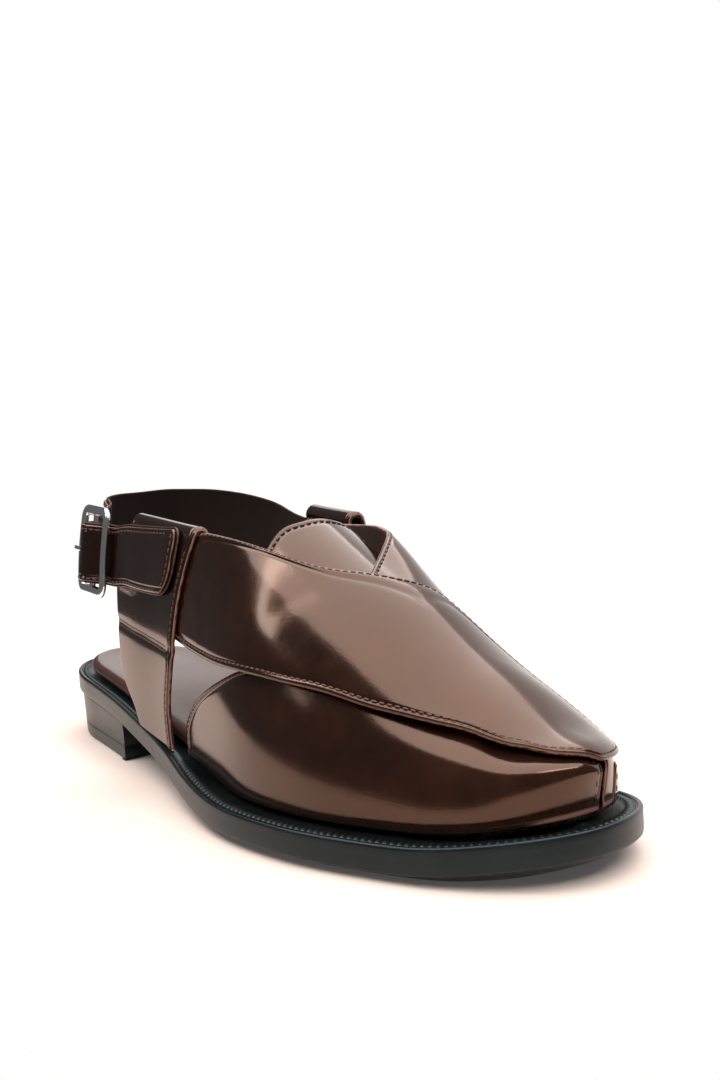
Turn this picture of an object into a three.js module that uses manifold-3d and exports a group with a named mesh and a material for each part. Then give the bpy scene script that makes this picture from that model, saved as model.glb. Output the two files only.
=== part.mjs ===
// A peshawari chappal, one right shoe, standing empty on its sole.
// Units are millimetres, +Z is up, the toe points along -Y and the buckle side is -X.
// The origin is the middle of the heel's flat tread on the floor.
import * as THREE from "three";
import Module from "manifold-3d";

const wasm = await Module();
wasm.setup();
const { Manifold, Mesh } = wasm;

// Named sizes of the shoe
const LENGTH = 300; // heel back to toe tip of the sole
const HEEL_BACK = 40; // distance of the heel's back from the origin
const GAP = 0.3; // clearance between curved pieces
const WING_THICK = 1.8;
const UNDER_FROM = 0.6; // lower crossing strap, distances from the last
const UNDER_TO = 2.8;
const OVER_FROM = 1.2; // upper crossing strap, distances from the last
const OVER_TO = 3.8;
const STAY_FROM = 4.1;
const STAY_TO = 6.1;
const STRAP_THICK = 2.2;
const TOE_PIVOT = -205; // where the toe's section lines fan out
const HEEL_PIVOT = -12;

// Sole outline: share of the length from the heel, lateral half width, medial half width
const OUTLINE = [
  { at: 0.0, lateral: 26.5, medial: 33.0 },
  { at: 0.08, lateral: 27.5, medial: 33.0 },
  { at: 0.18, lateral: 31.5, medial: 33.5 },
  { at: 0.3, lateral: 37.5, medial: 31.5 },
  { at: 0.42, lateral: 43.4, medial: 31.0 },
  { at: 0.54, lateral: 53.0, medial: 36.0 },
  { at: 0.64, lateral: 57.5, medial: 41.5 },
  { at: 0.74, lateral: 54.5, medial: 44.5 },
  { at: 0.84, lateral: 45.0, medial: 43.5 },
  { at: 0.92, lateral: 36.5, medial: 40.0 },
  { at: 1.0, lateral: 32.0, medial: 37.0 },
];
// Heights of the sole's lower edge: share of the length, height
const SOLE_EDGE = [
  { at: 0.0, z: 20.2 },
  { at: 0.26, z: 15.9 },
  { at: 0.4, z: 10.2 },
  { at: 0.52, z: 5.1 },
  { at: 0.62, z: 2.6 },
  { at: 0.86, z: 2.8 },
  { at: 1.0, z: 8.4 },
];
// Heights of the tread inside that edge
const TREAD = [
  { at: 0.0, z: 20.2 },
  { at: 0.26, z: 15.9 },
  { at: 0.4, z: 9.8 },
  { at: 0.52, z: 3.6 },
  { at: 0.6, z: 0.0 },
  { at: 0.88, z: 0.0 },
  { at: 0.94, z: 1.7 },
  { at: 1.0, z: 6.4 },
];
// Distance of the feather edge inside the sole outline, both sides
const WELT = [
  { at: 0.0, lateral: 6.0, medial: 6.0 },
  { at: 0.15, lateral: 5.0, medial: 5.0 },
  { at: 0.3, lateral: 5.0, medial: 5.0 },
  { at: 0.42, lateral: 7.5, medial: 7.5 },
  { at: 0.55, lateral: 11.0, medial: 9.5 },
  { at: 0.75, lateral: 11.6, medial: 9.5 },
  { at: 0.9, lateral: 12.0, medial: 5.6 },
  { at: 1.0, lateral: 11.0, medial: 10.5 },
];
// Cross section of the last: share by which the wall swells, exponent of its height
const SECTION = [
  { at: 0.0, swell: 0.1, full: 0.85 },
  { at: 0.6, swell: 0.1, full: 0.85 },
  { at: 0.7, swell: 0.05, full: 0.85 },
  { at: 0.8, swell: -0.047, full: 0.7 },
  { at: 0.85, swell: -0.12, full: 0.596 },
  { at: 0.9, swell: -0.195, full: 0.5 },
  { at: 1.0, swell: 0.29, full: 0.342 },
];
// Height of the last's ridge over the sole, by the place along the shoe
const RIDGE = [
  { y: -262, z: 21.2 },
  { y: -250, z: 25.1 },
  { y: -240, z: 25.6 },
  { y: -225, z: 35.1 },
  { y: -205, z: 46.9 },
  { y: -185, z: 62.8 },
  { y: -165, z: 74.4 },
  { y: -140, z: 89.0 },
  { y: -115, z: 100.1 },
  { y: -95, z: 110 },
  { y: -75, z: 122 },
  { y: -50, z: 145 },
  { y: 0, z: 150 },
  { y: 45, z: 150 },
];
// Lower edge of the crossing straps over the wings: turn, share of the section
const STRAP_EDGE = [
  { turn: 0.42, up: 0.18 },
  { turn: 0.467, up: 0.203 },
  { turn: 0.54, up: 0.248 },
  { turn: 0.63, up: 0.327 },
  { turn: 0.7, up: 0.362 },
  { turn: 0.788, up: 0.395 },
  { turn: 0.844, up: 0.432 },
  { turn: 0.901, up: 0.44 },
  { turn: 0.953, up: 0.355 },
  { turn: 1.0, up: 0.282 },
  { turn: 1.035, up: 0.23 },
  { turn: 1.1, up: 0.22 },
  { turn: 1.2, up: 0.28 },
  { turn: 1.36, up: 0.305 },
  { turn: 1.46, up: 0.253 },
  { turn: 1.58, up: 0.18 },
];
// Rear edge of the over strap: place across (-1 lateral, +1 medial), turn
const OVER_REAR = [
  { across: -1.0, turn: 0.468 },
  { across: -0.56, turn: 0.468 },
  { across: -0.51, turn: 0.484 },
  { across: -0.462, turn: 0.498 },
  { across: -0.422, turn: 0.521 },
  { across: -0.357, turn: 0.555 },
  { across: -0.307, turn: 0.584 },
  { across: -0.232, turn: 0.615 },
  { across: -0.122, turn: 0.636 },
  { across: 0.019, turn: 0.652 },
  { across: 0.188, turn: 0.662 },
  { across: 0.3, turn: 0.7 },
  { across: 0.42, turn: 0.75 },
  { across: 0.55, turn: 0.8 },
  { across: 1.0, turn: 0.87 },
];
// Rear edge of the under strap, the mirror of the other
const UNDER_REAR = [
  { across: -0.45, turn: 0.74 },
  { across: -0.155, turn: 0.646 },
  { across: -0.055, turn: 0.637 },
  { across: 0.037, turn: 0.626 },
  { across: 0.107, turn: 0.615 },
  { across: 0.222, turn: 0.592 },
  { across: 0.3, turn: 0.567 },
  { across: 0.4, turn: 0.53 },
  { across: 0.465, turn: 0.499 },
  { across: 0.5, turn: 0.484 },
  { across: 0.56, turn: 0.468 },
  { across: 1.0, turn: 0.468 },
];
// Rounded rear end of a wing: share of its height, turn
const WING_REAR = [
  { up: 0.0, turn: 0.474 },
  { up: 0.033, turn: 0.473 },
  { up: 0.071, turn: 0.483 },
  { up: 0.112, turn: 0.498 },
  { up: 0.153, turn: 0.517 },
  { up: 0.205, turn: 0.541 },
  { up: 0.262, turn: 0.566 },
  { up: 0.33, turn: 0.6 },
];

// Monotone curve through a short table
function curve(table, key, value, x) {
  const n = table.length;
  const xs = table.map((row) => row[key]);
  const ys = table.map((row) => row[value]);
  if (x <= xs[0]) return ys[0];
  if (x >= xs[n - 1]) return ys[n - 1];
  const step = [];
  const rise = [];
  for (let i = 0; i < n - 1; i++) {
    step.push(xs[i + 1] - xs[i]);
    rise.push((ys[i + 1] - ys[i]) / (xs[i + 1] - xs[i]));
  }
  const slope = [rise[0]];
  for (let i = 1; i < n - 1; i++) {
    if (rise[i - 1] * rise[i] <= 0) {
      slope.push(0);
    } else {
      const a = 2 * step[i] + step[i - 1];
      const b = step[i] + 2 * step[i - 1];
      slope.push((a + b) / (a / rise[i - 1] + b / rise[i]));
    }
  }
  slope.push(rise[n - 2]);
  let k = 0;
  while (k < n - 2 && x > xs[k + 1]) k++;
  const t = (x - xs[k]) / step[k];
  return (
    (1 + 2 * t) * (1 - t) ** 2 * ys[k] +
    t * (1 - t) ** 2 * step[k] * slope[k] +
    t * t * (3 - 2 * t) * ys[k + 1] +
    t * t * (t - 1) * step[k] * slope[k + 1]
  );
}

const clamp = (x, lo, hi) => Math.min(hi, Math.max(lo, x));
const mix = (a, b, t) => a + (b - a) * t;
const smooth = (t) => {
  const k = clamp(t, 0, 1);
  return k * k * (3 - 2 * k);
};

const soleEdge = (u) => curve(SOLE_EDGE, "at", "z", u);
const tread = (u) => curve(TREAD, "at", "z", u);
const soleTop = (u) => soleEdge(u) + 7.9 + 0.7 * clamp((u - 0.3) / 0.3, 0, 1);
const share = (turn) => 0.5 * (1 - Math.cos(Math.PI * Math.abs(turn)));

// Point of the sole outline on one side (-1 lateral, +1 medial)
function side(which, u) {
  let w = curve(OUTLINE, "at", which < 0 ? "lateral" : "medial", u);
  const a = clamp(1 - u / 0.13, 0, 1);
  w *= Math.sqrt(Math.max(0, 1 - a ** 2.3));
  const b = clamp((u - 0.86) / 0.14, 0, 1);
  w *= Math.sqrt(Math.max(0, 1 - b ** 2.2));
  const c = 4.2 * clamp((u - 0.7) / 0.3, 0, 1) ** 2;
  return [c + which * w, HEEL_BACK - u * LENGTH];
}

// Outline by turn: 0 at the heel's back, -1 or +1 at the toe tip
function around(turn) {
  let t = turn;
  if (t > 1) t -= 2;
  if (t < -1) t += 2;
  return side(t < 0 ? -1 : 1, share(t));
}

function edge(turn, inset) {
  const e = 2e-3;
  const p = around(turn);
  const a = around(turn + e);
  const b = around(turn - e);
  const dx = a[0] - b[0];
  const dy = a[1] - b[1];
  const n = Math.hypot(dx, dy) + 1e-12;
  return [p[0] + (dy / n) * inset, p[1] - (dx / n) * inset];
}

// Place clamped softly between the two pivots of the section lines
function softly(y) {
  const s = 8;
  const f = (z) => s * Math.log1p(Math.exp(clamp(z / s, -40, 40)));
  const up = TOE_PIVOT + f(y - TOE_PIVOT);
  return HEEL_PIVOT - f(HEEL_PIVOT - up);
}

// Distance of the feather edge inside the outline, changing sides at the heel and the toe
function welt(turn) {
  const t = turn > 1 ? turn - 2 : turn < -1 ? turn + 2 : turn;
  const near = Math.abs(t) > 0.5 ? 1.2 * Math.sin(Math.PI * (1 - Math.abs(t))) : 1;
  const u = share(turn);
  const which = smooth(0.5 + 0.5 * near * Math.sign(t));
  return mix(curve(WELT, "at", "lateral", u), curve(WELT, "at", "medial", u), which);
}

// Point of the last: turn around the shoe, share up from the feather edge to the ridge
function bare(turn, up, extra) {
  const u = share(turn);
  const f = edge(turn, welt(turn) + extra);
  const yr = softly(HEEL_BACK - u * LENGTH);
  const ur = (HEEL_BACK - yr) / LENGTH;
  const xr = 0.5 * (side(-1, ur)[0] + side(1, ur)[0]);
  const a = (up * Math.PI) / 2;
  const g = Math.cos(a) * (1 + curve(SECTION, "at", "swell", u) * Math.sin(a));
  const x = xr + (f[0] - xr) * g;
  const y = yr + (f[1] - yr) * g;
  const medial = turn > 0 ? turn <= 1 : turn < -1;
  const k = medial ? smooth(Math.abs(1 - Math.abs(turn)) / 0.3) : 0;
  const h = curve(RIDGE, "y", "z", y) * Math.sin(a) ** (curve(SECTION, "at", "full", u) + 0.4 * k * Math.sin(a));
  return [x, y, soleTop(clamp((HEEL_BACK - y) / LENGTH, 0, 1)) + GAP + h];
}

function last(turn, up, out = 0) {
  const h = clamp(up, 1e-4, 0.998);
  const p = bare(turn, h, 0);
  if (out === 0) return p;
  const e = 1e-3;
  const a = bare(turn + e, h, 0);
  const b = bare(turn - e, h, 0);
  const c = bare(turn, Math.min(h + e, 0.999), 0);
  const d = bare(turn, Math.max(h - e, 1e-5), 0);
  const t = a.map((v, i) => v - b[i]);
  const s = c.map((v, i) => v - d[i]);
  const n = [s[1] * t[2] - s[2] * t[1], s[2] * t[0] - s[0] * t[2], s[0] * t[1] - s[1] * t[0]];
  if (up < 0.15) n[2] = Math.max(n[2], 0);
  const l = Math.hypot(...n) + 1e-12;
  return p.map((v, i) => v + (n[i] / l) * out);
}

// Share up the section at which the last stands at a given height
function upAt(turn, z) {
  let lo = 0;
  let hi = 0.97;
  for (let i = 0; i < 24; i++) {
    const m = 0.5 * (lo + hi);
    if (bare(turn, m, 0)[2] < z) lo = m;
    else hi = m;
  }
  return 0.5 * (lo + hi);
}

// Turn and share up of a place across: -1 lateral feather edge, 0 ridge, +1 medial feather edge
function crossing(turn, across, out) {
  return last(across < 0 ? -turn : turn, 1 - Math.abs(across), out);
}

function manifold(points, faces) {
  const build = (list) =>
    new Mesh({
      numProp: 3,
      vertProperties: new Float32Array(points.flat()),
      triVerts: new Uint32Array(list.flat()),
    });
  const clean = faces.filter((f) => f[0] !== f[1] && f[1] !== f[2] && f[2] !== f[0]);
  let solid = new Manifold(build(clean));
  if (solid.volume() < 0) solid = new Manifold(build(clean.map((f) => [f[0], f[2], f[1]])));
  return solid;
}

// Closed wall between an outer and an inner sheet, both functions of (i, j)
function wall(nu, nv, outer, inner) {
  const points = [];
  const at = (s, i, j) => s * (nu + 1) * (nv + 1) + i * (nv + 1) + j;
  for (const sheet of [outer, inner]) {
    for (let i = 0; i <= nu; i++) for (let j = 0; j <= nv; j++) points.push(sheet(i / nu, j / nv));
  }
  const faces = [];
  const quad = (a, b, c, d) => faces.push([a, b, c], [a, c, d]);
  for (let i = 0; i < nu; i++) {
    for (let j = 0; j < nv; j++) {
      quad(at(0, i, j), at(0, i + 1, j), at(0, i + 1, j + 1), at(0, i, j + 1));
      quad(at(1, i, j), at(1, i, j + 1), at(1, i + 1, j + 1), at(1, i + 1, j));
    }
  }
  for (let i = 0; i < nu; i++) {
    quad(at(0, i, 0), at(1, i, 0), at(1, i + 1, 0), at(0, i + 1, 0));
    quad(at(0, i + 1, nv), at(1, i + 1, nv), at(1, i, nv), at(0, i, nv));
  }
  for (let j = 0; j < nv; j++) {
    quad(at(0, 0, j + 1), at(1, 0, j + 1), at(1, 0, j), at(0, 0, j));
    quad(at(0, nu, j), at(1, nu, j), at(1, nu, j + 1), at(0, nu, j + 1));
  }
  return manifold(points, faces);
}

// Stack of rings around the shoe between two turns, closed across its width at top and bottom
function stack(turns, rings, closed) {
  const n = turns.length;
  const m = rings.length;
  const points = [];
  for (const ring of rings) for (const t of turns) points.push(ring(t));
  const faces = [];
  const last_ = closed ? n : n - 1;
  for (let k = 0; k < m - 1; k++) {
    for (let i = 0; i < last_; i++) {
      const a = k * n + i;
      const b = k * n + ((i + 1) % n);
      faces.push([a, b, b + n], [a, b + n, a + n]);
    }
    if (!closed) {
      const a = k * n + n - 1;
      const b = k * n;
      faces.push([a, b, b + n], [a, b + n, a + n]);
    }
  }
  for (const k of [0, m - 1]) {
    let i = 0;
    let j = n - 1;
    while (i + 1 < j) {
      const f = [
        [k * n + i, k * n + j, k * n + i + 1],
        [k * n + i + 1, k * n + j, k * n + j - 1],
      ];
      if (i + 1 === j - 1) f.pop();
      for (const g of f) faces.push(k === 0 ? g : [g[0], g[2], g[1]]);
      i++;
      j--;
    }
  }
  return manifold(points, faces);
}

// Turns spaced evenly from one end to the other
const spread = (from, to, n) => Array.from({ length: n + 1 }, (_, i) => mix(from, to, i / n));

function block(x0, x1, y0, y1, z0, z1) {
  return Manifold.cube([x1 - x0, y1 - y0, z1 - z0]).translate([x0, y0, z0]);
}

// Outsole: one rubber layer with rounded lower edge, rim line and cross grooves
function makeOutsole() {
  const n = 76;
  const turns = Array.from({ length: n }, (_, i) => -1 + (2 * (i + 0.5)) / n);
  const ring = (inset, z) => (t) => {
    const p = edge(t, inset);
    return [p[0], p[1], z(clamp((HEEL_BACK - p[1]) / LENGTH, 0, 1))];
  };
  const flat = (u) => tread(u);
  let sole = stack(
    turns,
    [
      ring(13, flat),
      ring(6.5, (u) => mix(tread(u), soleEdge(u), 0.18)),
      ring(1.2, (u) => soleEdge(u) - 0.1),
      ring(0, (u) => soleEdge(u) + 1.1),
      ring(0, (u) => soleTop(u) - 0.9),
      ring(0.8, soleTop),
      ring(2.5, soleTop),
      ring(2.9, (u) => soleTop(u) - 0.9),
      ring(3.7, (u) => soleTop(u) - 0.9),
      ring(4.1, soleTop),
    ],
    true,
  );
  const grooves = [];
  for (const y of [-151, -158, -165, -191, -198, -205, -212]) {
    const u = (HEEL_BACK - y) / LENGTH;
    grooves.push(block(side(-1, u)[0] + 15, side(1, u)[0] - 15, y - 1.1, y + 1.1, -1, 1.2));
  }
  sole = sole.subtract(Manifold.union(grooves));
  return sole;
}

function makeHeel() {
  const turns = spread(-0.341, 0.341, 26);
  const ring = (inset, z) => (t) => {
    const p = edge(t, inset);
    return [p[0], p[1], z(clamp((HEEL_BACK - p[1]) / LENGTH, 0, 1))];
  };
  let heel = stack(
    turns,
    [
      ring(2.6, () => 0),
      ring(1.6, () => 0.9),
      ring(1.4, (u) => soleEdge(u) - 6),
      ring(1.1, (u) => tread(u) - GAP),
    ],
    false,
  );
  const grooves = [];
  for (const y of [-29, -22, -15, 15, 22]) grooves.push(block(-16, 18, y - 1.1, y + 1.1, -1, 1.2));
  heel = heel.subtract(Manifold.union(grooves));
  return heel;
}

// Insole: padded bed with a rolled edge, just inside the feather edge
function makeInsole() {
  const n = 60;
  const turns = Array.from({ length: n }, (_, i) => -1 + (2 * (i + 0.5)) / n);
  const ring = (extra, rise) => (t) => {
    const p = edge(t, welt(t) + extra);
    return [p[0], p[1], soleTop(clamp((HEEL_BACK - p[1]) / LENGTH, 0, 1)) + rise];
  };
  return stack(turns, [ring(1.6, GAP), ring(0.7, 1.3), ring(0.6, 2.7), ring(1.5, 3.9), ring(4, 4.6), ring(10, 4.2)], true);
}

// The crossing straps form one vaulted cap over the toe, open behind
function makeCap(from, to, rear, nu, nv) {
  const first = 0.46;
  const points = [];
  const index = [[], []];
  const sheets = [to, from];
  for (let s = 0; s < 2; s++) {
    for (let i = 0; i <= nu; i++) {
      const turn = mix(first, 1, (i / nu) ** 0.9);
      index[s].push([]);
      for (let j = 0; j <= nv; j++) {
        const lo = -(1 - curve(STRAP_EDGE, "turn", "up", turn));
        const hi = 1 - curve(STRAP_EDGE, "turn", "up", 2 - turn);
        const across = j <= nv / 2 ? mix(lo, 0, (2 * j) / nv) : mix(0, hi, (2 * j) / nv - 1);
        const mirror = i === nu && j > nv / 2;
        const pole = j === nv / 2 && turn > 0.8;
        if (mirror) {
          index[s][i].push(index[s][i][nv - j]);
        } else if (pole && i > 0 && index[s][i - 1][j] !== undefined && mix(first, 1, ((i - 1) / nu) ** 0.9) > 0.8) {
          index[s][i].push(index[s][i - 1][j]);
        } else {
          index[s][i].push(points.length);
          points.push(crossing(turn, across, sheets[s]));
        }
      }
    }
  }
  const faces = [];
  const quad = (a, b, c, d) => faces.push([a, b, c], [a, c, d]);
  for (let i = 0; i < nu; i++) {
    for (let j = 0; j < nv; j++) {
      const o = index[0];
      const n = index[1];
      quad(o[i][j], o[i + 1][j], o[i + 1][j + 1], o[i][j + 1]);
      quad(n[i][j], n[i][j + 1], n[i + 1][j + 1], n[i + 1][j]);
    }
    quad(index[0][i][0], index[1][i][0], index[1][i + 1][0], index[0][i + 1][0]);
    quad(index[0][i + 1][nv], index[1][i + 1][nv], index[1][i][nv], index[0][i][nv]);
  }
  for (let j = 0; j < nv; j++) quad(index[0][0][j + 1], index[1][0][j + 1], index[1][0][j], index[0][0][j]);
  const cap = manifold(points, faces);
  const cutter = wall(
    14,
    26,
    (a, b) => crossing(mix(0.4, curve(rear, "across", "turn", mix(-0.95, 0.95, b)), a), mix(-0.95, 0.95, b), 9),
    (a, b) => crossing(mix(0.4, curve(rear, "across", "turn", mix(-0.95, 0.95, b)), a), mix(-0.95, 0.95, b), -4),
  );
  return cap.subtract(cutter);
}

// Under strap: the band that shows behind the over strap on the medial side
function makeUnderStrap() {
  const sheet = (out) => (a, b) => {
    const top = -0.3;
    const q = mix(top, 0.83, b);
    const rear = curve(UNDER_REAR, "across", "turn", q);
    const front = Math.max(rear + 0.02, curve(OVER_REAR, "across", "turn", q) + 0.05);
    const turn = mix(rear, front, a);
    const low = 1 - curve(STRAP_EDGE, "turn", "up", 2 - turn);
    const across = mix(top, low, b);
    const r2 = curve(UNDER_REAR, "across", "turn", across);
    const f2 = Math.max(r2 + 0.02, curve(OVER_REAR, "across", "turn", across) + 0.05);
    return crossing(mix(r2, f2, a), across, out);
  };
  return wall(8, 18, sheet(UNDER_TO), sheet(UNDER_FROM));
}

// Wing: low side panel on the welt, its upper edge hidden under the straps
function makeWing(sign, front) {
  const top = (t) => curve(STRAP_EDGE, "turn", "up", t) + 0.09;
  const sheet = (out) => (a, b) => {
    const reach = top(0.6);
    const rear = curve(WING_REAR, "up", "turn", b * reach);
    const t0 = mix(rear, front, a);
    const real = sign < 0 ? t0 : 2 - t0;
    return last(sign < 0 ? -t0 : t0, b * mix(reach, top(real), smooth(a * 4)), out);
  };
  return wall(26, 7, sheet(WING_THICK), sheet(0));
}

// Strap end that goes down behind the slit at the toe
function makeToeEnd() {
  const sheet = (out) => (a, b) => last(mix(-1.055, -1.115, a), mix(0.0, 0.42, b), out);
  return wall(3, 6, sheet(1.3), sheet(-0.1));
}

function makeUpper() {
  const over = makeCap(OVER_FROM, OVER_TO, OVER_REAR, 20, 22);
  return Manifold.union([over, makeUnderStrap(), makeWing(-1, 1.035), makeWing(1, 0.905), makeToeEnd()]);
}

// Tongue: rounded leaf under the crossing
const TONGUE_TOP = [
  { across: -0.42, turn: 0.66 },
  { across: -0.385, turn: 0.6 },
  { across: -0.33, turn: 0.568 },
  { across: -0.23, turn: 0.565 },
  { across: -0.09, turn: 0.569 },
  { across: 0.07, turn: 0.571 },
  { across: 0.197, turn: 0.566 },
  { across: 0.27, turn: 0.58 },
  { across: 0.31, turn: 0.61 },
  { across: 0.34, turn: 0.66 },
];

function makeTongue() {
  const sheet = (out) => (a, b) => {
    const across = mix(-0.42, 0.34, a);
    const rear = curve(TONGUE_TOP, "across", "turn", across);
    return crossing(mix(rear, 0.75, b), across, out);
  };
  return wall(16, 6, sheet(0.2), sheet(-1.6));
}

// Stay: leather that rises from the sole and folds over the heel strap.
// Share of its height, turn of the rear edge, turn of the front edge
const STAY_SIDES = [
  { up: 0.0, rear: 0.405, front: 0.466 },
  { up: 0.1, rear: 0.395, front: 0.462 },
  { up: 0.2, rear: 0.374, front: 0.463 },
  { up: 0.3, rear: 0.366, front: 0.468 },
  { up: 0.45, rear: 0.366, front: 0.474 },
  { up: 0.65, rear: 0.366, front: 0.481 },
  { up: 0.85, rear: 0.385, front: 0.49 },
  { up: 1.0, rear: 0.405, front: 0.496 },
];
const MEDIAL_SPLAY = 12; // the medial stay's top stands this far out from the last
const MEDIAL_FORWARD = 0.03; // and this much turn further forward
const SEAM = 59; // height of the seam that closes the fold

// Outward lean of the medial stay and of the strap end in it
function splayed(p, amount) {
  p[0] += MEDIAL_SPLAY * smooth((p[2] - 28) / 64) * amount;
  return p;
}

function makeStay(sign) {
  const crown = (s) => mix(sign < 0 ? 99.5 : 97.5, 95.5, s);
  const inside = sign < 0 ? 1.0 : 1.6;
  const radius = (STAY_TO + inside) / 2;
  const middle = (STAY_TO - inside) / 2;
  const path = [];
  for (const w of [0, 0.07, 0.15, 0.24, 0.34, 0.44, 0.54, 0.64, 0.74, 0.85]) path.push([w, STAY_TO, STAY_FROM, 0]);
  for (let k = 0; k <= 6; k++) {
    const a = (Math.PI * k) / 6;
    path.push([0.96, middle + radius * Math.cos(a), middle + (radius - 2) * Math.cos(a), a]);
  }
  for (const w of [0.85, 0.74, 0.64, 0.54]) path.push([w, -inside, 1.8 - inside, 0]);
  const place = (s, row, outer) => {
    const z0 = last(-0.43, 0, 0)[2] + 0.4;
    const top = crown(s) - radius;
    let t = mix(curve(STAY_SIDES, "up", "rear", row[0]), curve(STAY_SIDES, "up", "front", row[0]), s) * sign;
    if (sign > 0) t += MEDIAL_FORWARD * (row[0] / 0.96);
    const r = outer ? radius : radius - 2;
    const z = mix(z0, top, row[0] / 0.96) + r * Math.sin(row[3]);
    const low = row[0] < 0.02 ? soleTop(share(t)) + GAP + 0.1 : z;
    return splayed(last(t, upAt(t, low), outer ? row[1] : row[2]), sign < 0 ? 0 : 1);
  };
  const n = path.length - 1;
  const ply = wall(
    6,
    n,
    (a, b) => place(a, path[Math.round(b * n)], true),
    (a, b) => place(a, path[Math.round(b * n)], false),
  );
  const closing = wall(
    6,
    2,
    (a, b) => {
      const w = mix(0.5, 0.58, b);
      return place(0.8 * a, [w, 5.2, -0.2, 0], true);
    },
    (a, b) => {
      const w = mix(0.5, 0.58, b);
      return place(0.8 * a, [w, 5.2, -0.2, 0], false);
    },
  );
  return ply.add(closing);
}

// Ribbon of leather along a smooth run of stations; each station gives a point for a share of its width
function ribbon(stations, steps, across, half, from, to) {
  const n = stations.length - 1;
  const centre = (s, w) => {
    const x = clamp(s, 0, 1) * n;
    const k = Math.min(n - 1, Math.floor(x));
    const f = x - k;
    const q = [k - 1, k, k + 1, k + 2].map((m) => stations[clamp(m, 0, n)](w));
    return q[0].map((_, i) => {
      const [a, b, c, d] = [q[0][i], q[1][i], q[2][i], q[3][i]];
      return 0.5 * (2 * b + (c - a) * f + (2 * a - 5 * b + 4 * c - d) * f * f + (3 * b - a - 3 * c + d) * f * f * f);
    });
  };
  const sheet = (out) => (a, b) => {
    const s = mix(from, to, a);
    const p = centre(s, b);
    const e = 2e-3;
    const u = centre(s + e, b).map((v, i) => v - centre(s - e, b)[i]);
    const w = centre(s, clamp(b + 0.05, 0, 1)).map((v, i) => v - centre(s, clamp(b - 0.05, 0, 1))[i]);
    const c = [u[1] * w[2] - u[2] * w[1], u[2] * w[0] - u[0] * w[2], u[0] * w[1] - u[1] * w[0]];
    const l = Math.hypot(...c);
    return p.map((v, i) => v + (c[i] / l) * out);
  };
  return wall(steps, across, sheet(half), sheet(-half));
}

// Buckle: middle of its plane, size, bars; forward runs to the toe, up leans in with the ankle
const BUCKLE = {
  at: [-42.4, -42, 85.2],
  forward: [-0.07, -1, -0.04],
  up: [0.12, -0.04, 0.98],
  width: 25,
  height: 34.5,
  bar: 4,
  thick: 2.4,
  axle: 1.3,
};
const unit = (v) => v.map((x) => x / Math.hypot(...v));
const E1 = unit(BUCKLE.forward);
const E2 = unit(BUCKLE.up);
const E3 = unit([E1[1] * E2[2] - E1[2] * E2[1], E1[2] * E2[0] - E1[0] * E2[2], E1[0] * E2[1] - E1[1] * E2[0]]);
const inBuckle = (a, w, b) => BUCKLE.at.map((v, i) => v + E1[i] * a + E2[i] * w + E3[i] * b);

// Heel strap over the stay: turn, lower edge, upper edge
const STRAP_TIP = [
  { turn: -0.48, low: 71.5, high: 94.5 },
  { turn: -0.46, low: 71.4, high: 94.6 },
  { turn: -0.44, low: 71.3, high: 94.8 },
  { turn: -0.415, low: 71.8, high: 95.0 },
  { turn: -0.398, low: 72.4, high: 95.2 },
];
// Heel strap through the buckle: forward of the bar, out of its plane
const STRAP_IN_BUCKLE = [
  { forward: 14, out: -2.9 },
  { forward: 10.5, out: -2.8 },
  { forward: 7.6, out: -2.0 },
  { forward: 5.2, out: 1.2 },
  { forward: 2.6, out: 4.1 },
  { forward: 0, out: 4.9 },
  { forward: -2.6, out: 4.1 },
  { forward: -5.2, out: 1.2 },
  { forward: -7.6, out: -2.0 },
  { forward: -10.5, out: -3.1 },
  { forward: -14, out: -4.6 },
];
// Heel strap round the heel: turn, distance of its middle from the last, lower edge, upper edge
const STRAP_HEEL = [
  { turn: -0.24, out: 2.6, low: 71.0, high: 99.5 },
  { turn: -0.17, out: 2.5, low: 69.5, high: 101.0 },
  { turn: -0.1, out: 2.5, low: 69.0, high: 101.5 },
  { turn: -0.03, out: 2.5, low: 69.0, high: 102.0 },
  { turn: 0.04, out: 2.5, low: 69.0, high: 102.0 },
  { turn: 0.11, out: 2.5, low: 69.5, high: 102.5 },
  { turn: 0.18, out: 2.5, low: 70.0, high: 102.5 },
  { turn: 0.25, out: 2.5, low: 70.0, high: 102.0 },
  { turn: 0.31, out: 2.5, low: 70.0, high: 100.0 },
  { turn: 0.36, out: 2.3, low: 70.0, high: 97.0 },
  { turn: 0.41, out: 2.3, low: 70.0, high: 92.5 },
  { turn: 0.475, out: 2.3, low: 70.0, high: 90.5 },
];

// Pull of the heel strap away from the last towards the ankle
function pulled(turn, z, out) {
  const p = last(turn, upAt(turn, z), out);
  const k = smooth(1 - Math.abs(turn) / 0.4);
  const m = clamp(1 - Math.abs(Math.abs(turn) - 0.18) / 0.18, 0, 1);
  p[1] -= 20 * k + (turn < 0 ? 4 * m : 0);
  p[0] *= 1 - (turn < 0 ? 0.3 : 0.2) * m;
  if (turn > 0) splayed(p, smooth((turn - 0.15) / 0.22));
  return p;
}

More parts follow.
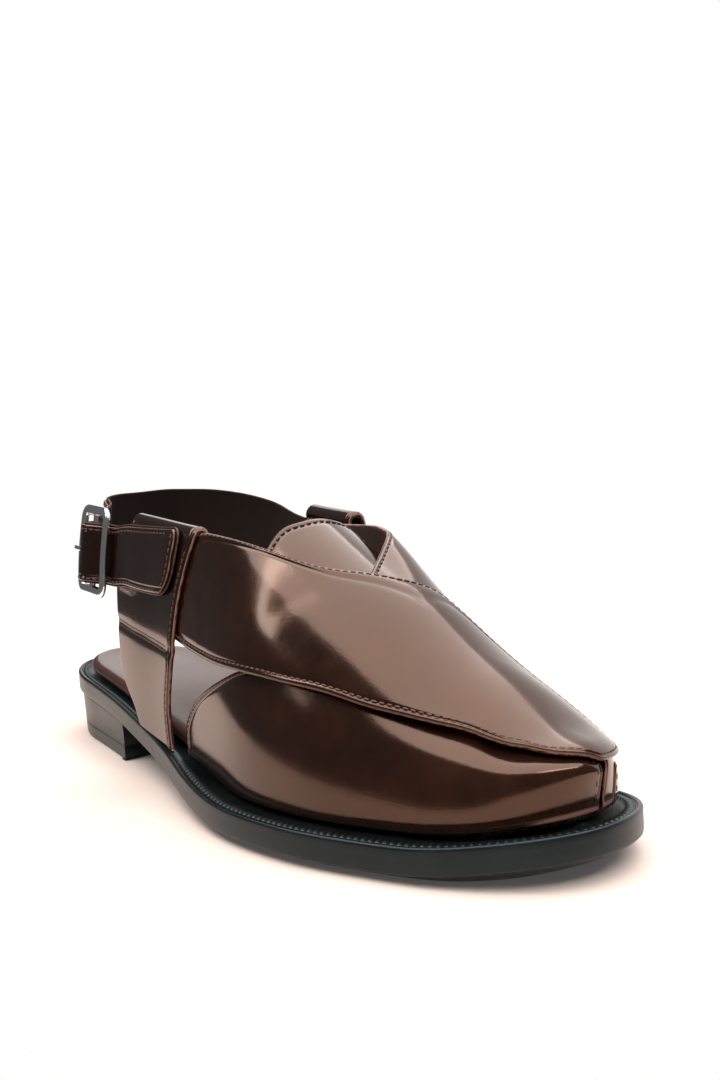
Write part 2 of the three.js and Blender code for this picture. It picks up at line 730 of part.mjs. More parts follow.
function makeHeelStrap() {
  const stations = [];
  for (const [i, row] of STRAP_TIP.entries()) {
    const narrow = i === 0 ? 0.62 : 1;
    stations.push((w) => {
      const c = 0.5 * (row.low + row.high);
      const z = c + narrow * (row.high - row.low) * (w - 0.5);
      return last(row.turn, upAt(row.turn, z), 7.8);
    });
  }
  for (const row of STRAP_IN_BUCKLE) {
    stations.push((w) => inBuckle(row.forward, (w - 0.5) * 23 - 0.6, row.out));
  }
  for (const row of STRAP_HEEL) stations.push((w) => pulled(row.turn, mix(row.low, row.high, w), row.out));
  let strap = ribbon(stations, 66, 3, STRAP_THICK / 2, 0, 1);
  const slot = block(-9, -0.6, -1.6, 1.6, -1, 9);
  strap = strap.subtract(placed(slot));
  return strap;
}

// A solid drawn about the buckle's own axes: x forward, y up, z out
function placed(solid) {
  return solid.transform([...E1, 0, ...E2, 0, ...E3, 0, ...BUCKLE.at, 1]);
}

function tube(radius, hole, y0, y1, sides) {
  const body = Manifold.cylinder(y1 - y0, radius, radius, sides).rotate([-90, 0, 0]).translate([0, y0, 0]);
  if (!hole) return body;
  const core = Manifold.cylinder(y1 - y0 + 2, hole, hole, sides).rotate([-90, 0, 0]).translate([0, y0 - 1, 0]);
  return body.subtract(core);
}

function makeBuckleFrame() {
  const { width, height, bar, thick } = BUCKLE;
  const path = [];
  const r = 5;
  for (const [sx, sy, a0] of [
    [1, 1, 0],
    [-1, 1, 90],
    [-1, -1, 180],
    [1, -1, 270],
  ]) {
    for (let k = 0; k <= 3; k++) {
      const a = ((a0 + 30 * k) * Math.PI) / 180;
      path.push([sx * (width / 2 - r), sy * (height / 2 - r), a]);
    }
  }
  const profile = Array.from({ length: 8 }, (_, k) => (2 * Math.PI * (k + 0.5)) / 8);
  const n = path.length;
  const m = profile.length;
  const points = [];
  for (const [cx, cy, a] of path) {
    for (const b of profile) {
      const d = r - bar / 2 + (bar / 2) * Math.cos(b);
      points.push([cx + d * Math.cos(a), cy + d * Math.sin(a), (thick / 2) * Math.sin(b)]);
    }
  }
  const faces = [];
  for (let i = 0; i < n; i++) {
    for (let k = 0; k < m; k++) {
      const a = i * m + k;
      const b = i * m + ((k + 1) % m);
      const c = ((i + 1) % n) * m + ((k + 1) % m);
      const d = ((i + 1) % n) * m + k;
      faces.push([a, b, c], [a, c, d]);
    }
  }
  const ring = manifold(points, faces);
  const axle = tube(BUCKLE.axle, 0, -height / 2 + bar / 2, height / 2 - bar / 2, 12);
  return placed(ring.add(axle));
}

function makeBuckleProng() {
  const eye = tube(2.9, 1.6, -1.1, 1.1, 14);
  const shaft = wall(
    8,
    1,
    (a, b) => [mix(-1.5, -13.6, a), mix(-1.1, 1.1, b) * mix(1, 0.8, a), mix(2.9, 3.5, smooth(a * 2)) - 0.9 * a ** 6],
    (a, b) => [mix(-1.5, -13.6, a), mix(-1.1, 1.1, b) * mix(1, 0.8, a), mix(1.2, 1.6, smooth(a * 2)) - 0.2 * a ** 6],
  );
  return placed(eye.add(shaft));
}

function makeChape() {
  const loop = tube(3.2, 1.6, -10, 9, 14);
  const stations = [];
  for (const turn of [-0.452, -0.425, -0.4]) {
    stations.push((w) => last(turn, upAt(turn, mix(74, 94, w)), 2.6));
  }
  stations.push((w) => last(-0.38, upAt(-0.38, mix(74.5, 94, w)), 2.6));
  stations.push((w) => inBuckle(2.2, mix(-10, 9, w), -8.8));
  stations.push((w) => inBuckle(-0.9, mix(-10, 9, w), -6.2));
  stations.push((w) => inBuckle(-0.4, mix(-10, 9, w), -2.4));
  const web = ribbon(stations, 18, 4, 0.9, 0, 1);
  const slot = block(-6, 6, -1.5, 1.5, -3.4, 6);
  return placed(loop).add(web).subtract(placed(tube(1.6, 0, -12, 12, 14))).subtract(placed(slot));
}

const pieces = [];
function add(name, solid, colour, roughness, metalness) {
  const mesh = solid.getMesh();
  const geometry = new THREE.BufferGeometry();
  const stride = mesh.numProp;
  const count = mesh.vertProperties.length / stride;
  const position = new Float32Array(count * 3);
  for (let i = 0; i < count; i++) {
    for (let k = 0; k < 3; k++) position[i * 3 + k] = mesh.vertProperties[i * stride + k];
  }
  geometry.setAttribute("position", new THREE.BufferAttribute(position, 3));
  geometry.setIndex(new THREE.BufferAttribute(new Uint32Array(mesh.triVerts), 1));
  const material = new THREE.MeshStandardMaterial({ color: colour, roughness, metalness });
  material.name = name;
  const piece = new THREE.Mesh(geometry, material);
  piece.name = name;
  pieces.push(piece);
  console.log(name, "triangles", mesh.triVerts.length / 3, "parts", solid.decompose().length, "volume", Math.round(solid.volume()));
}

add("outsole", makeOutsole(), 0x1a1a1b, 0.6, 0.0);
add("heel", makeHeel(), 0x19191a, 0.6, 0.0);
add("insole", makeInsole(), 0x3a241c, 0.35, 0.0);
add("upper", makeUpper(), 0x3b241b, 0.25, 0.0);
add("tongue", makeTongue(), 0x4a3226, 0.25, 0.0);
add("stay_lateral", makeStay(-1), 0x2a1914, 0.25, 0.0);
add("stay_medial", makeStay(1), 0x2a1914, 0.25, 0.0);
add("heel_strap", makeHeelStrap(), 0x2a1914, 0.25, 0.0);
add("buckle_chape", makeChape(), 0x2a1914, 0.3, 0.0);
add("buckle_frame", makeBuckleFrame(), 0xc8c8cc, 0.12, 1.0);
add("buckle_prong", makeBuckleProng(), 0xc8c8cc, 0.12, 1.0);

const shoe = new THREE.Group();
shoe.name = "peshawari_chappal";
for (const piece of pieces) shoe.add(piece);
export default shoe;
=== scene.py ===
# %% [markdown]
# # A peshawari chappal, dressed around its CAD frame
# The imported solids are the frame of this scene. Each leather piece, the rubber sole and the
# chromed buckle are made again here with fine meshes in the same place, in the same units.
# This first step loads the frame.

# %% Load the frame
import math
import bpy
import bmesh
import numpy as np
from mathutils import Matrix


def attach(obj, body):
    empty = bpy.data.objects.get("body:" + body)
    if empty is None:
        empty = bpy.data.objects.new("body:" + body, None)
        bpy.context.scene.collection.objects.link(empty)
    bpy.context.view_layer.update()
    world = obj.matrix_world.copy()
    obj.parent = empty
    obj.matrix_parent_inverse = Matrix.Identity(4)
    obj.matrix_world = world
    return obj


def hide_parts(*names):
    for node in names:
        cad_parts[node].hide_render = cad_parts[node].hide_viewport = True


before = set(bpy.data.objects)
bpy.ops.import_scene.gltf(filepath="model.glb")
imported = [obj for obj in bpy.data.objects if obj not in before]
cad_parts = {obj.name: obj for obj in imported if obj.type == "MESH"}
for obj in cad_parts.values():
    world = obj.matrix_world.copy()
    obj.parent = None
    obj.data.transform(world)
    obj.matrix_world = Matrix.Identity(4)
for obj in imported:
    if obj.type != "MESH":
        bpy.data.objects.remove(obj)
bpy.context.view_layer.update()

MM = 0.001
print("frame nodes", sorted(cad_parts))

# %% [markdown]
# ## Curves from short tables
# A shoemaker works from a few measures along the length. Each table gives such measures,
# and a monotone cubic runs through them, so that a width never swings past its neighbours.
# Glossy leather shows every kink, so the curve is sampled finely and its corners are eased
# with a short running mean. A spline fitted by hand could do the same with more labour.

# %% A fair curve through a table
def cubic(rows, x):
    """Height at x of the monotone cubic through the rows (x, y).
    Each knot's slope is the weighted harmonic mean of the slopes beside it, or 0 at a turn."""
    rows = np.asarray(rows, float)
    xs, ys = rows[:, 0], rows[:, 1]
    step = np.diff(xs)
    rise = np.diff(ys) / step
    slope = np.concatenate([rise[:1], np.zeros(len(xs) - 2), rise[-1:]])
    level = rise[:-1] * rise[1:] > 0
    a = 2 * step[1:] + step[:-1]
    b = step[1:] + 2 * step[:-1]
    safe = np.where(level, rise[:-1], 1), np.where(level, rise[1:], 1)
    slope[1:-1] = np.where(level, (a + b) / (a / safe[0] + b / safe[1]), 0)
    k = np.clip(np.searchsorted(xs, x) - 1, 0, len(xs) - 2)
    t = np.clip((x - xs[k]) / step[k], 0, 1)
    return ((1 + 2 * t) * (1 - t) ** 2 * ys[k] + t * (1 - t) ** 2 * step[k] * slope[k]
            + t * t * (3 - 2 * t) * ys[k + 1] + t * t * (t - 1) * step[k] * slope[k + 1])


def fair(rows, ease):
    """A function of x: the cubic through the rows, averaged twice over a window as wide as ease.
    Beyond its ends it runs straight on while it is averaged, and then holds the end value."""
    lo, hi = rows[0][0], rows[-1][0]
    x = np.linspace(lo - ease, hi + ease, 4001)
    y = cubic(rows, np.clip(x, lo, hi))
    e = (hi - lo) * 1e-3
    first = (cubic(rows, lo + e) - cubic(rows, lo)) / e
    final = (cubic(rows, hi) - cubic(rows, hi - e)) / e
    y = y + first * np.minimum(x - lo, 0) + final * np.maximum(x - hi, 0)
    n = max(1, int(round(ease / (x[1] - x[0]) / 2)))
    box = np.ones(2 * n + 1) / (2 * n + 1)
    for _ in range(2):
        y = np.convolve(np.pad(y, n, mode="reflect", reflect_type="odd"), box, "valid")
    return lambda q: np.interp(np.clip(q, lo, hi), x, y)


def soft(t):
    """Smooth step: 0 up to 0, 1 from 1, with level ends."""
    k = np.clip(t, 0, 1)
    return k * k * (3 - 2 * k)


def mix(a, b, t):
    """a at 0 and b at 1, straight between."""
    return a + (b - a) * t


def bell(x, middle, width):
    """Bell curve of height one: the exponential of minus the squared distance over the width."""
    return np.exp(-((x - middle) / width) ** 2)


def walk(line):
    """Distance walked along a line of points, up to each point."""
    return np.concatenate([[0], np.cumsum(np.linalg.norm(np.diff(line, axis=0), axis=1))])


def on_line(line, walked, at):
    """Points of a line at given distances along it."""
    return np.stack([np.interp(at, walked, line[:, k]) for k in range(line.shape[1])], -1)


# %% [markdown]
# ## The last
# The last is the wooden foot that the leather is pulled over. Here it is a formula:
# a turn round the sole's outline, a share up the section to the ridge, and a distance out
# along the surface's own normal. Every leather piece is a patch of it, so the pieces fit
# each other as they do on a real last. Modelling each by hand would lose that fit.

# %% Measures of the sole and the last, in millimetres
LENGTH = 300
HEEL_BACK = 40
GAP = 0.3
SOLE_THICK, FOREPART_EXTRA = 7.9, 0.7
HEEL_ROUND, HEEL_POWER = 0.13, 2.3
TOE_ROUND, TOE_POWER = 0.14, 2.2
TOE_SWING = 4.2
RIDGE_FRONT, RIDGE_BACK = -205.0, -12.0
LATERAL = fair([(0, 26.5), (.08, 27.5), (.18, 31.5), (.3, 37.5), (.42, 43.4), (.54, 53), (.64, 57.5),
                (.74, 54.5), (.84, 45), (.92, 36.5), (1, 32)], .07)
MEDIAL = fair([(0, 33), (.08, 33), (.18, 33.5), (.3, 31.5), (.42, 31), (.54, 36), (.64, 41.5),
               (.74, 44.5), (.84, 43.5), (.92, 40), (1, 37)], .07)
sole_edge = fair([(0, 20.2), (.26, 15.9), (.4, 10.2), (.52, 5.1), (.62, 2.6), (.86, 2.8), (1, 8.4)], .05)
tread = fair([(0, 20.2), (.26, 15.9), (.4, 9.8), (.52, 3.6), (.6, 0), (.88, 0), (.94, 1.7), (1, 6.4)], .02)
welt_lateral = fair([(0, 6), (.15, 5), (.3, 5), (.42, 7.5), (.55, 11), (.75, 11.6), (.9, 12), (1, 11)], .06)
welt_medial = fair([(0, 6), (.15, 5), (.3, 5), (.42, 7.5), (.55, 9.5), (.75, 9.5), (.9, 5.6), (1, 10.5)],
                   .06)
swell = fair([(0, .1), (.6, .1), (.7, .05), (.8, -.047), (.9, -.195), (1, .29)], .06)
fullness = fair([(0, .85), (.7, .85), (.8, .7), (.85, .596), (.9, .5), (1, .342)], .06)
ridge = fair([(-262, 21.2), (-250, 25.1), (-240, 24.2), (-225, 35.1), (-205, 46.9), (-185, 62.8),
              (-165, 74.4), (-140, 89), (-115, 100.1), (-95, 110), (-75, 122), (-50, 145), (0, 150),
              (45, 150)], 14)


def sole_top(u):
    """Height of the sole's upper face at a share of the length from the heel."""
    return sole_edge(u) + SOLE_THICK + FOREPART_EXTRA * np.clip((u - 0.3) / 0.3, 0, 1)


def share(turn):
    """Share of the length at a turn: half of one minus the cosine."""
    return 0.5 * (1 - np.cos(np.pi * np.abs(turn)))


def length_share(y):
    """Share of the sole's length from the heel at a y in millimetres."""
    return np.clip((HEEL_BACK - y) / LENGTH, 0, 1)


def outline(side, u):
    """Point of the sole's outline on a side: half width, rounded off at both ends by a power law."""
    w = np.where(side < 0, LATERAL(u), MEDIAL(u))
    heel = np.clip(1 - u / HEEL_ROUND, 0, 1) ** HEEL_POWER
    toe = np.clip((u - 1 + TOE_ROUND) / TOE_ROUND, 0, 1) ** TOE_POWER
    w = w * np.sqrt(np.clip(1 - heel, 0, 1)) * np.sqrt(np.clip(1 - toe, 0, 1))
    c = TOE_SWING * np.clip((u - 0.7) / 0.3, 0, 1) ** 2
    return np.stack([c + side * w, HEEL_BACK - u * LENGTH], -1)


def wrapped(turn):
    """The same place with its turn between -1 and 1."""
    return turn - 2 * (turn > 1) + 2 * (turn < -1)


def edge(turn, inset):
    """Outline moved inwards by the inset, square to its own direction."""
    def around(t):
        t = wrapped(t)
        return outline(np.where(t < 0, -1.0, 1.0), share(t))
    e = 2e-3
    d = around(turn + e) - around(turn - e)
    d = d / (np.linalg.norm(d, axis=-1, keepdims=True) + 1e-12)
    return around(turn) + np.stack([d[..., 1], -d[..., 0]], -1) * np.asarray(inset)[..., None]


def kept_between(y, low, high, ease=8.0):
    """y held softly between two limits, by the logarithm of one plus an exponential."""
    def ramp(q):
        return ease * np.log1p(np.exp(np.clip(q / ease, -40, 40)))
    up = low + ramp(y - low)
    return high - ramp(high - up)


def welt(turn):
    """Distance of the feather edge inside the outline: it changes sides smoothly at heel and toe."""
    t = wrapped(turn)
    near = np.where(np.abs(t) > 0.5, 1.2 * np.sin(np.pi * (1 - np.abs(t))), 1.0)
    which = soft(0.5 + 0.5 * near * np.sign(t))
    return mix(welt_lateral(share(turn)), welt_medial(share(turn)), which)


def bare(turn, up):
    """Surface of the last: from the feather edge at 0 to the ridge at 1.
    Plan: the section point moves from the feather edge to the ridge line as a swelling cosine.
    Height: sole top plus the ridge's height times a power of the sine."""
    u = share(turn)
    f = edge(turn, welt(turn))
    yr = kept_between(HEEL_BACK - u * LENGTH, RIDGE_FRONT, RIDGE_BACK)
    ur = (HEEL_BACK - yr) / LENGTH
    xr = 0.5 * (outline(-1.0, ur)[..., 0] + outline(1.0, ur)[..., 0])
    a = up * math.pi / 2
    g = np.cos(a) * (1 + swell(u) * np.sin(a))
    x = xr + (f[..., 0] - xr) * g
    y = yr + (f[..., 1] - yr) * g
    medial = np.where(turn > 0, turn <= 1, turn < -1)
    k = soft(np.abs(1 - np.abs(turn)) / 0.3) * medial
    h = ridge(y) * np.sin(a) ** (fullness(u) + 0.4 * k * np.sin(a))
    return np.stack([x, y, sole_top(length_share(y)) + GAP + h], -1)


def unit(v):
    """The vectors at length one."""
    return v / (np.linalg.norm(v, axis=-1, keepdims=True) + 1e-12)


def matched(*values):
    """The values as arrays of one common shape."""
    return np.broadcast_arrays(*(np.asarray(v, float) for v in values))


def last(turn, up, out=0.0):
    """Point at a distance out along the normal, which is the cross product of both tangents."""
    turn, up, out = matched(turn, up, out)
    h = np.clip(up, 1e-4, 0.998)
    e = 1e-3
    t = bare(turn + e, h) - bare(turn - e, h)
    s = bare(turn, np.minimum(h + e, 0.999)) - bare(turn, np.maximum(h - e, 1e-5))
    n = np.cross(s, t)
    n[..., 2] = np.where(h < 0.15, np.maximum(n[..., 2], 0), n[..., 2])
    return bare(turn, h) + unit(n) * out[..., None]


def up_at(turn, z):
    """Share up the section where the last stands at height z, by halving."""
    lo = np.zeros(np.broadcast(turn, z).shape)
    hi = lo + 0.97
    for _ in range(22):
        m = 0.5 * (lo + hi)
        below = bare(turn, m)[..., 2] < z
        lo = np.where(below, m, lo)
        hi = np.where(below, hi, m)
    return 0.5 * (lo + hi)


def crossing(turn, across, out):
    """Point of the last by its place across: -1 lateral feather edge, 0 ridge, +1 medial one."""
    return last(np.where(across < 0, -turn, turn), 1 - np.abs(across), out)


print("ridge over the instep at", np.round(last(0.6, 1.0), 1), "mm")

# %% [markdown]
# ## From grids to closed meshes
# A real strap is a thin solid with a cut edge, not a bare sheet. Each patch gets an outer
# and an inner grid that meet along the border in a small round, and they are welded there.
# The grid lines crowd towards the border, where the round and the seam groove need them.
# Solidify with Bevel would give a wall too, but not one whose thickness and lift can vary.

# %% Put arrays into a mesh
def quads_of(rows, cols, turned=False, offset=0):
    """Corner numbers of the cells of a grid of rows by cols points, counted row by row."""
    i, j = np.meshgrid(np.arange(rows - 1), np.arange(cols - 1), indexing="ij")
    a = (i * cols + j).ravel() + offset
    q = np.stack([a, a + cols, a + cols + 1, a + 1], 1)
    return q[:, ::-1] if turned else q


def piece_from(name, points, quads, fields=None, weld=4e-6):
    """A mesh object from points in millimetres and four-cornered faces.
    Points closer than the weld distance become one, and the faces are turned outwards."""
    mesh = bpy.data.meshes.new(name)
    points = np.asarray(points, float).reshape(-1, 3)
    mesh.vertices.add(len(points))
    mesh.vertices.foreach_set("co", (points * MM).astype(np.float32).ravel())
    mesh.loops.add(quads.size)
    mesh.loops.foreach_set("vertex_index", quads.astype(np.int32).ravel())
    mesh.polygons.add(len(quads))
    mesh.polygons.foreach_set("loop_start", np.arange(0, quads.size, 4, dtype=np.int32))
    mesh.polygons.foreach_set("loop_total", np.full(len(quads), 4, np.int32))
    mesh.update(calc_edges=True)
    for key, values in (fields or {}).items():
        carried = mesh.attributes.new(key, "FLOAT", "POINT")
        carried.data.foreach_set("value", values.astype(np.float32).ravel())
    shape = bmesh.new()
    shape.from_mesh(mesh)
    bmesh.ops.remove_doubles(shape, verts=shape.verts, dist=weld)
    bmesh.ops.dissolve_degenerate(shape, edges=shape.edges, dist=1e-7)
    if shape.calc_volume(signed=True) < 0:
        bmesh.ops.reverse_faces(shape, faces=shape.faces)
    openings = sum(len(e.link_faces) != 2 for e in shape.edges)
    shape.to_mesh(mesh)
    shape.free()
    mesh.polygons.foreach_set("use_smooth", np.full(len(mesh.polygons), True))
    mesh.validate()
    obj = bpy.data.objects.new(name, mesh)
    bpy.context.scene.collection.objects.link(obj)
    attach(obj, "root")
    print(name, "faces", len(mesh.polygons), "open edges", openings)
    return obj


# %% Leather patches with a rounded border
BORDER = np.array([0, 0.05, 0.17, 0.38, 0.7, 1.15, 1.7, 2.1, 2.5, 3.0, 3.8])
SEAM_INSET = 2.1
SEAM_DIP, SEAM_PUFF = 0.32, 0.12
ROUGH_GRID = 33


def side_steps(length, count):
    """Places along sides of the given lengths, as shares: the border's own steps at both ends
    and even ones between. One column for each length."""
    length = np.asarray(length, float)[None, :]
    k = np.minimum(1, 0.3 * length / BORDER[-1])
    start = BORDER[:, None] * k
    inner = np.linspace(0, 1, count + 2)[1:-1, None]
    middle = start[-1:] + inner * (length - 2 * start[-1:])
    return np.concatenate([start, middle, length - start[::-1]]) / length


def lengths(grid, axis):
    """Length of each line of a grid of points along one axis."""
    return np.linalg.norm(np.diff(grid, axis=axis), axis=-1).sum(axis)


def patch(name, place, low, high, open_sides=(), pitch=1.8, radius=1.1, groove=()):
    """A closed leather patch. place(a, b, out) gives points for two shares and a distance out.
    Outer and inner face lie at high and low, and near a closed side both draw together on a
    superellipse of the given radius. groove names the sides that carry a seam."""
    sides = np.linspace(0, 1, ROUGH_GRID)
    a0, b0 = np.meshgrid(sides, sides, indexing="ij")
    middle = 0.5 * (low + high)
    rough = place(a0, b0, np.full(a0.shape, middle))
    long_a, long_b = lengths(rough, 0), lengths(rough, 1)
    count_a = int(max(4, (long_a.max() - 2 * BORDER[-1]) / pitch))
    count_b = int(max(4, (long_b.max() - 2 * BORDER[-1]) / pitch))
    steps_a = side_steps([long_a.mean()], count_a)[:, 0]
    steps_b = side_steps([long_b.mean()], count_b)[:, 0]
    size_a = np.maximum(np.interp(steps_b, sides, long_a), 1.0)
    size_b = np.maximum(np.interp(steps_a, sides, long_b), 1.0)
    a = side_steps(size_a, count_a)
    b = side_steps(size_b, count_b).T
    gaps = {"a0": a * size_a[None, :], "a1": (1 - a) * size_a[None, :],
            "b0": b * size_b[:, None], "b1": (1 - b) * size_b[:, None]}
    away = np.min([g for side, g in gaps.items() if side not in open_sides], axis=0)
    t = 1 - np.clip(away / radius, 0, 1)
    round_off = np.clip(1 - t ** 2.6, 0, 1) ** (1 / 2.2)
    half = 0.5 * (high - low) * round_off
    zero = np.zeros(a.shape)
    dip = sum([SEAM_DIP * bell(gaps[s], SEAM_INSET, 0.45) for s in groove], zero)
    puff = sum([SEAM_PUFF * bell(gaps[s], SEAM_INSET - 1, 0.6) for s in groove], zero)
    top = place(a, b, middle + half - dip * (round_off > 0.9) + puff * round_off)
    bottom = place(a, b, middle - half)
    rows, cols = a.shape
    quads = np.concatenate([quads_of(rows, cols), quads_of(rows, cols, True, rows * cols)])
    cut = 1 - soft((round_off - 0.35) / 0.5)
    fields = {"cut": np.stack([cut, cut]), "lining": np.stack([zero, zero + 1])}
    return piece_from(name, np.stack([top, bottom]), quads, fields)


# %% [markdown]
# ## Stitches
# Each seam is a row of short thread loops that dip into the leather. One small closed bead
# is repeated along the seam line. A bump map could fake the row, but its outline would stay
# flat at the edges of the straps, where the photograph shows single stitches against the light.

# %% Rows of stitches
THREADS = []
BEAD_STEPS = 7


def bead():
    """Closed bead about its own x axis: an ellipse of revolution, flattened on its ends."""
    x = np.cos(np.linspace(0, math.pi, BEAD_STEPS))
    r = np.clip(1 - x ** 4, 0, 1) ** 0.5
    a = np.linspace(0, 2 * math.pi, BEAD_STEPS)
    return np.stack([np.repeat(x[:, None], BEAD_STEPS, 1), r[:, None] * np.cos(a),
                     r[:, None] * np.sin(a)], -1)


def stitch(line, normal, pitch=2.5, length=1.9, width=0.34, sunk=0.05):
    """Beads at even distances along a line of points, turned to its direction and the normal."""
    walked = walk(line)
    count = max(2, int(round(walked[-1] / pitch)))
    at = (np.arange(count) + 0.5) / count * walked[-1]
    centre = on_line(line, walked, at)
    near = 0.4
    up = unit(on_line(normal, walked, at))
    x = unit(on_line(line, walked, at + near) - on_line(line, walked, at - near))
    y = unit(np.cross(up, x))
    shape = bead() * np.array([length / 2, width, width * 0.8])
    points = (centre - up * sunk)[:, None, None, :] + (shape[None, ..., 0:1] * x[:, None, None]
              + shape[None, ..., 1:2] * y[:, None, None] + shape[None, ..., 2:3] * up[:, None, None])
    THREADS.append(points.reshape(count, -1, 3))


def seam_line(place, a, b, out):
    """Points of a seam on a patch, and the outward normals there."""
    a, b = matched(a, b)
    line = place(a, b, np.full(a.shape, float(out)))
    raised = place(a, b, np.full(a.shape, out + 1.0))
    return line, unit(raised - line)


def in_from(place, side, inset, out, start=0.0, stop=1.0, count=160):
    """A seam that follows one side of a patch at an inset in millimetres."""
    s = np.linspace(start, stop, count)
    f = np.linspace(0, 0.25, 26)
    if side[0] == "b":
        a, b = np.meshgrid(s, f if side == "b0" else 1 - f, indexing="ij")
    else:
        b, a = np.meshgrid(s, f if side == "a0" else 1 - f, indexing="ij")
    grid = place(a, b, np.full(a.shape, float(out)))
    steps = np.linalg.norm(np.diff(grid, axis=1), axis=2)
    gone = np.concatenate([np.zeros((count, 1)), np.cumsum(steps, 1)], 1)
    k = np.clip((gone < inset).sum(1) - 1, 0, len(f) - 2)
    rows = np.arange(count)
    t = np.clip((inset - gone[rows, k]) / (gone[rows, k + 1] - gone[rows, k] + 1e-9), 0, 1)
    g = f[k] + t * (f[1] - f[0])
    g = g if side[1] == "0" else 1 - g
    return seam_line(place, s, g, out) if side[0] == "b" else seam_line(place, g, s, out)


# %% [markdown]
# ## The crossing straps and the wings
# The upper of this sandal is two wide straps that cross over the instep, and two low side
# panels, the wings, that are lasted into the sole. The over strap starts at the buckle side,
# sweeps across the instep and wraps the toe. The chart of the last folds along the toe's
# middle line, so that border is left open and its two halves are welded to each other.

# %% Lines of the straps on the last
strap_edge = fair([(.42, .18), (.467, .203), (.54, .248), (.586, .29), (.63, .329), (.669, .352),
                   (.704, .361), (.74, .381), (.788, .392), (.844, .428), (.9, .437), (.952, .343),
                   (1, .275), (1.035, .202), (1.1, .19), (1.2, .27), (1.36, .305), (1.46, .253),
                   (1.58, .18)], .012)
over_rear = fair([(-1, .468), (-.56, .468), (-.51, .484), (-.462, .498), (-.422, .521), (-.357, .555),
                  (-.307, .584), (-.232, .615), (-.122, .636), (.019, .652), (.188, .662), (.3, .7),
                  (.42, .75), (.55, .8), (1, .87)], .06)
under_rear = fair([(-.45, .74), (-.155, .646), (-.055, .637), (.037, .626), (.107, .615), (.222, .592),
                   (.3, .567), (.4, .53), (.465, .499), (.5, .484), (.56, .468), (1, .468)], .06)
wing_rear = fair([(0, .474), (.033, .473), (.071, .483), (.112, .498), (.153, .517), (.205, .541),
                  (.262, .566), (.33, .6)], .03)


def over_chart(a, b):
    """Turn and place across of the over strap: a runs from its rear edge to the toe's middle line,
    b from the lateral edge to the medial one. Both depend on each other, so a few rounds settle them."""
    across = mix(-0.6, 0.6, b)
    for _ in range(14):
        turn = mix(over_rear(across), 1.0, a ** 0.94)
        side = np.where(b < 0.5, -(1 - strap_edge(turn)), 1 - strap_edge(2 - turn))
        across = side * np.abs(2 * b - 1)
    return turn, across


# Creases: start, end, the way the leather faces there, width and depth, in millimetres
CREASES = [
    ((-44, -152, 65), (-15, -175, 85), (-0.6, -0.4, 0.7), 4.0, 0.13),
    ((-40, -119, 79), (-44, -125, 58), (-0.95, -0.2, 0.2), 2.6, 0.13),
    ((-40, -127, 80), (-45, -136, 59), (-0.95, -0.2, 0.2), 2.8, 0.16),
    ((-40, -135, 80), (-45, -145, 61), (-0.95, -0.2, 0.2), 3.0, 0.12),
    ((36, -152, 66), (18, -172, 82), (0.6, -0.4, 0.7), 4.0, 0.2),
]


def creased(points):
    """Height of the creases: each is a soft trough with a softer ridge beside it. Both are bell
    curves of the distance from its line, and they fade towards the line's ends."""
    total = np.zeros(points.shape[:-1])
    for start, end, facing, width, depth in CREASES:
        run = np.array(end, float) - np.array(start, float)
        normal = unit(np.array(facing, float))
        beside = unit(np.cross(run, normal))
        rel = points - np.array(start, float)
        s = (rel @ run) / (run @ run)
        fade = soft(s / 0.35) * soft((1 - s) / 0.35) * bell(rel @ normal, 0, 14)
        d = (rel @ beside) / width
        total += depth * fade * (0.7 * bell(d, 1.8, 1) - bell(d, 0, 1))
    return total


LIP_DRAWN_IN = 1.4
THROAT_FLARE = np.array([4.5, 0.0, 5.0])
WING_LEAN, WING_LAP = 2.4, 0.09
SLIT = {-1: 1.035, 1: 0.905}


def over_place(a, b, out):
    """Point of the over strap, with its creases and its lip drawn in at the toe."""
    turn, across = over_chart(a, b)
    drawn_in = LIP_DRAWN_IN * soft((turn - 0.86) / 0.1) * soft((np.abs(across) - 0.3) / 0.3)
    return crossing(turn, across, out + creased(crossing(turn, across, 2.5)) - drawn_in)


def under_turn(a, across):
    """Turn of the under strap, from its rear edge to a little past the over strap's edge."""
    rear = under_rear(across)
    return mix(rear, np.maximum(rear + 0.02, over_rear(across) + 0.05), a)


def under_place(a, b, out):
    """Point of the under strap: a from its rear edge to where the over strap hides it,
    b from the far side of the ridge down to the medial wing. Its edge flares at the throat."""
    low = 1 - strap_edge(2 - under_turn(a, mix(-0.3, 0.83, b)))
    across = mix(-0.3, low, b)
    p = crossing(under_turn(a, across), across, out)
    open_edge = soft((across - 0.02) / 0.2) * soft((p[..., 2] - 45) / 45) * (1 - soft(a / 0.9))
    return p + open_edge[..., None] * THROAT_FLARE


def wing_place(sign):
    """Points of a wing: a from its rounded rear end to the toe slit, b up from the welt.
    It leans in under the straps."""
    def place(a, b, out):
        """Point at shares a and b of this wing."""
        reach = strap_edge(0.6) + WING_LAP
        turn = mix(wing_rear(b * reach), SLIT[sign], a)
        real = turn if sign < 0 else 2 - turn
        up = b * mix(reach, strap_edge(real) + WING_LAP, soft(a * 4))
        return last(sign * turn, up, out - WING_LEAN * soft((b - 0.35) / 0.6))
    return place


# %% Cut the straps and the wings
OVER = (2.1, 4.1)
UNDER = (0.4, 2.0)
WING = (0.0, 1.7)
TOE_END = (-0.1, 1.3)
strap_over = patch("strap_over", over_place, *OVER, open_sides=("a1",), groove=("b0", "b1", "a0"))
strap_under = patch("strap_under", under_place, *UNDER, groove=("a0",))
wing_lateral = patch("wing_lateral", wing_place(-1), *WING, groove=("a0", "a1"))
wing_medial = patch("wing_medial", wing_place(1), *WING, groove=("a0", "a1"))


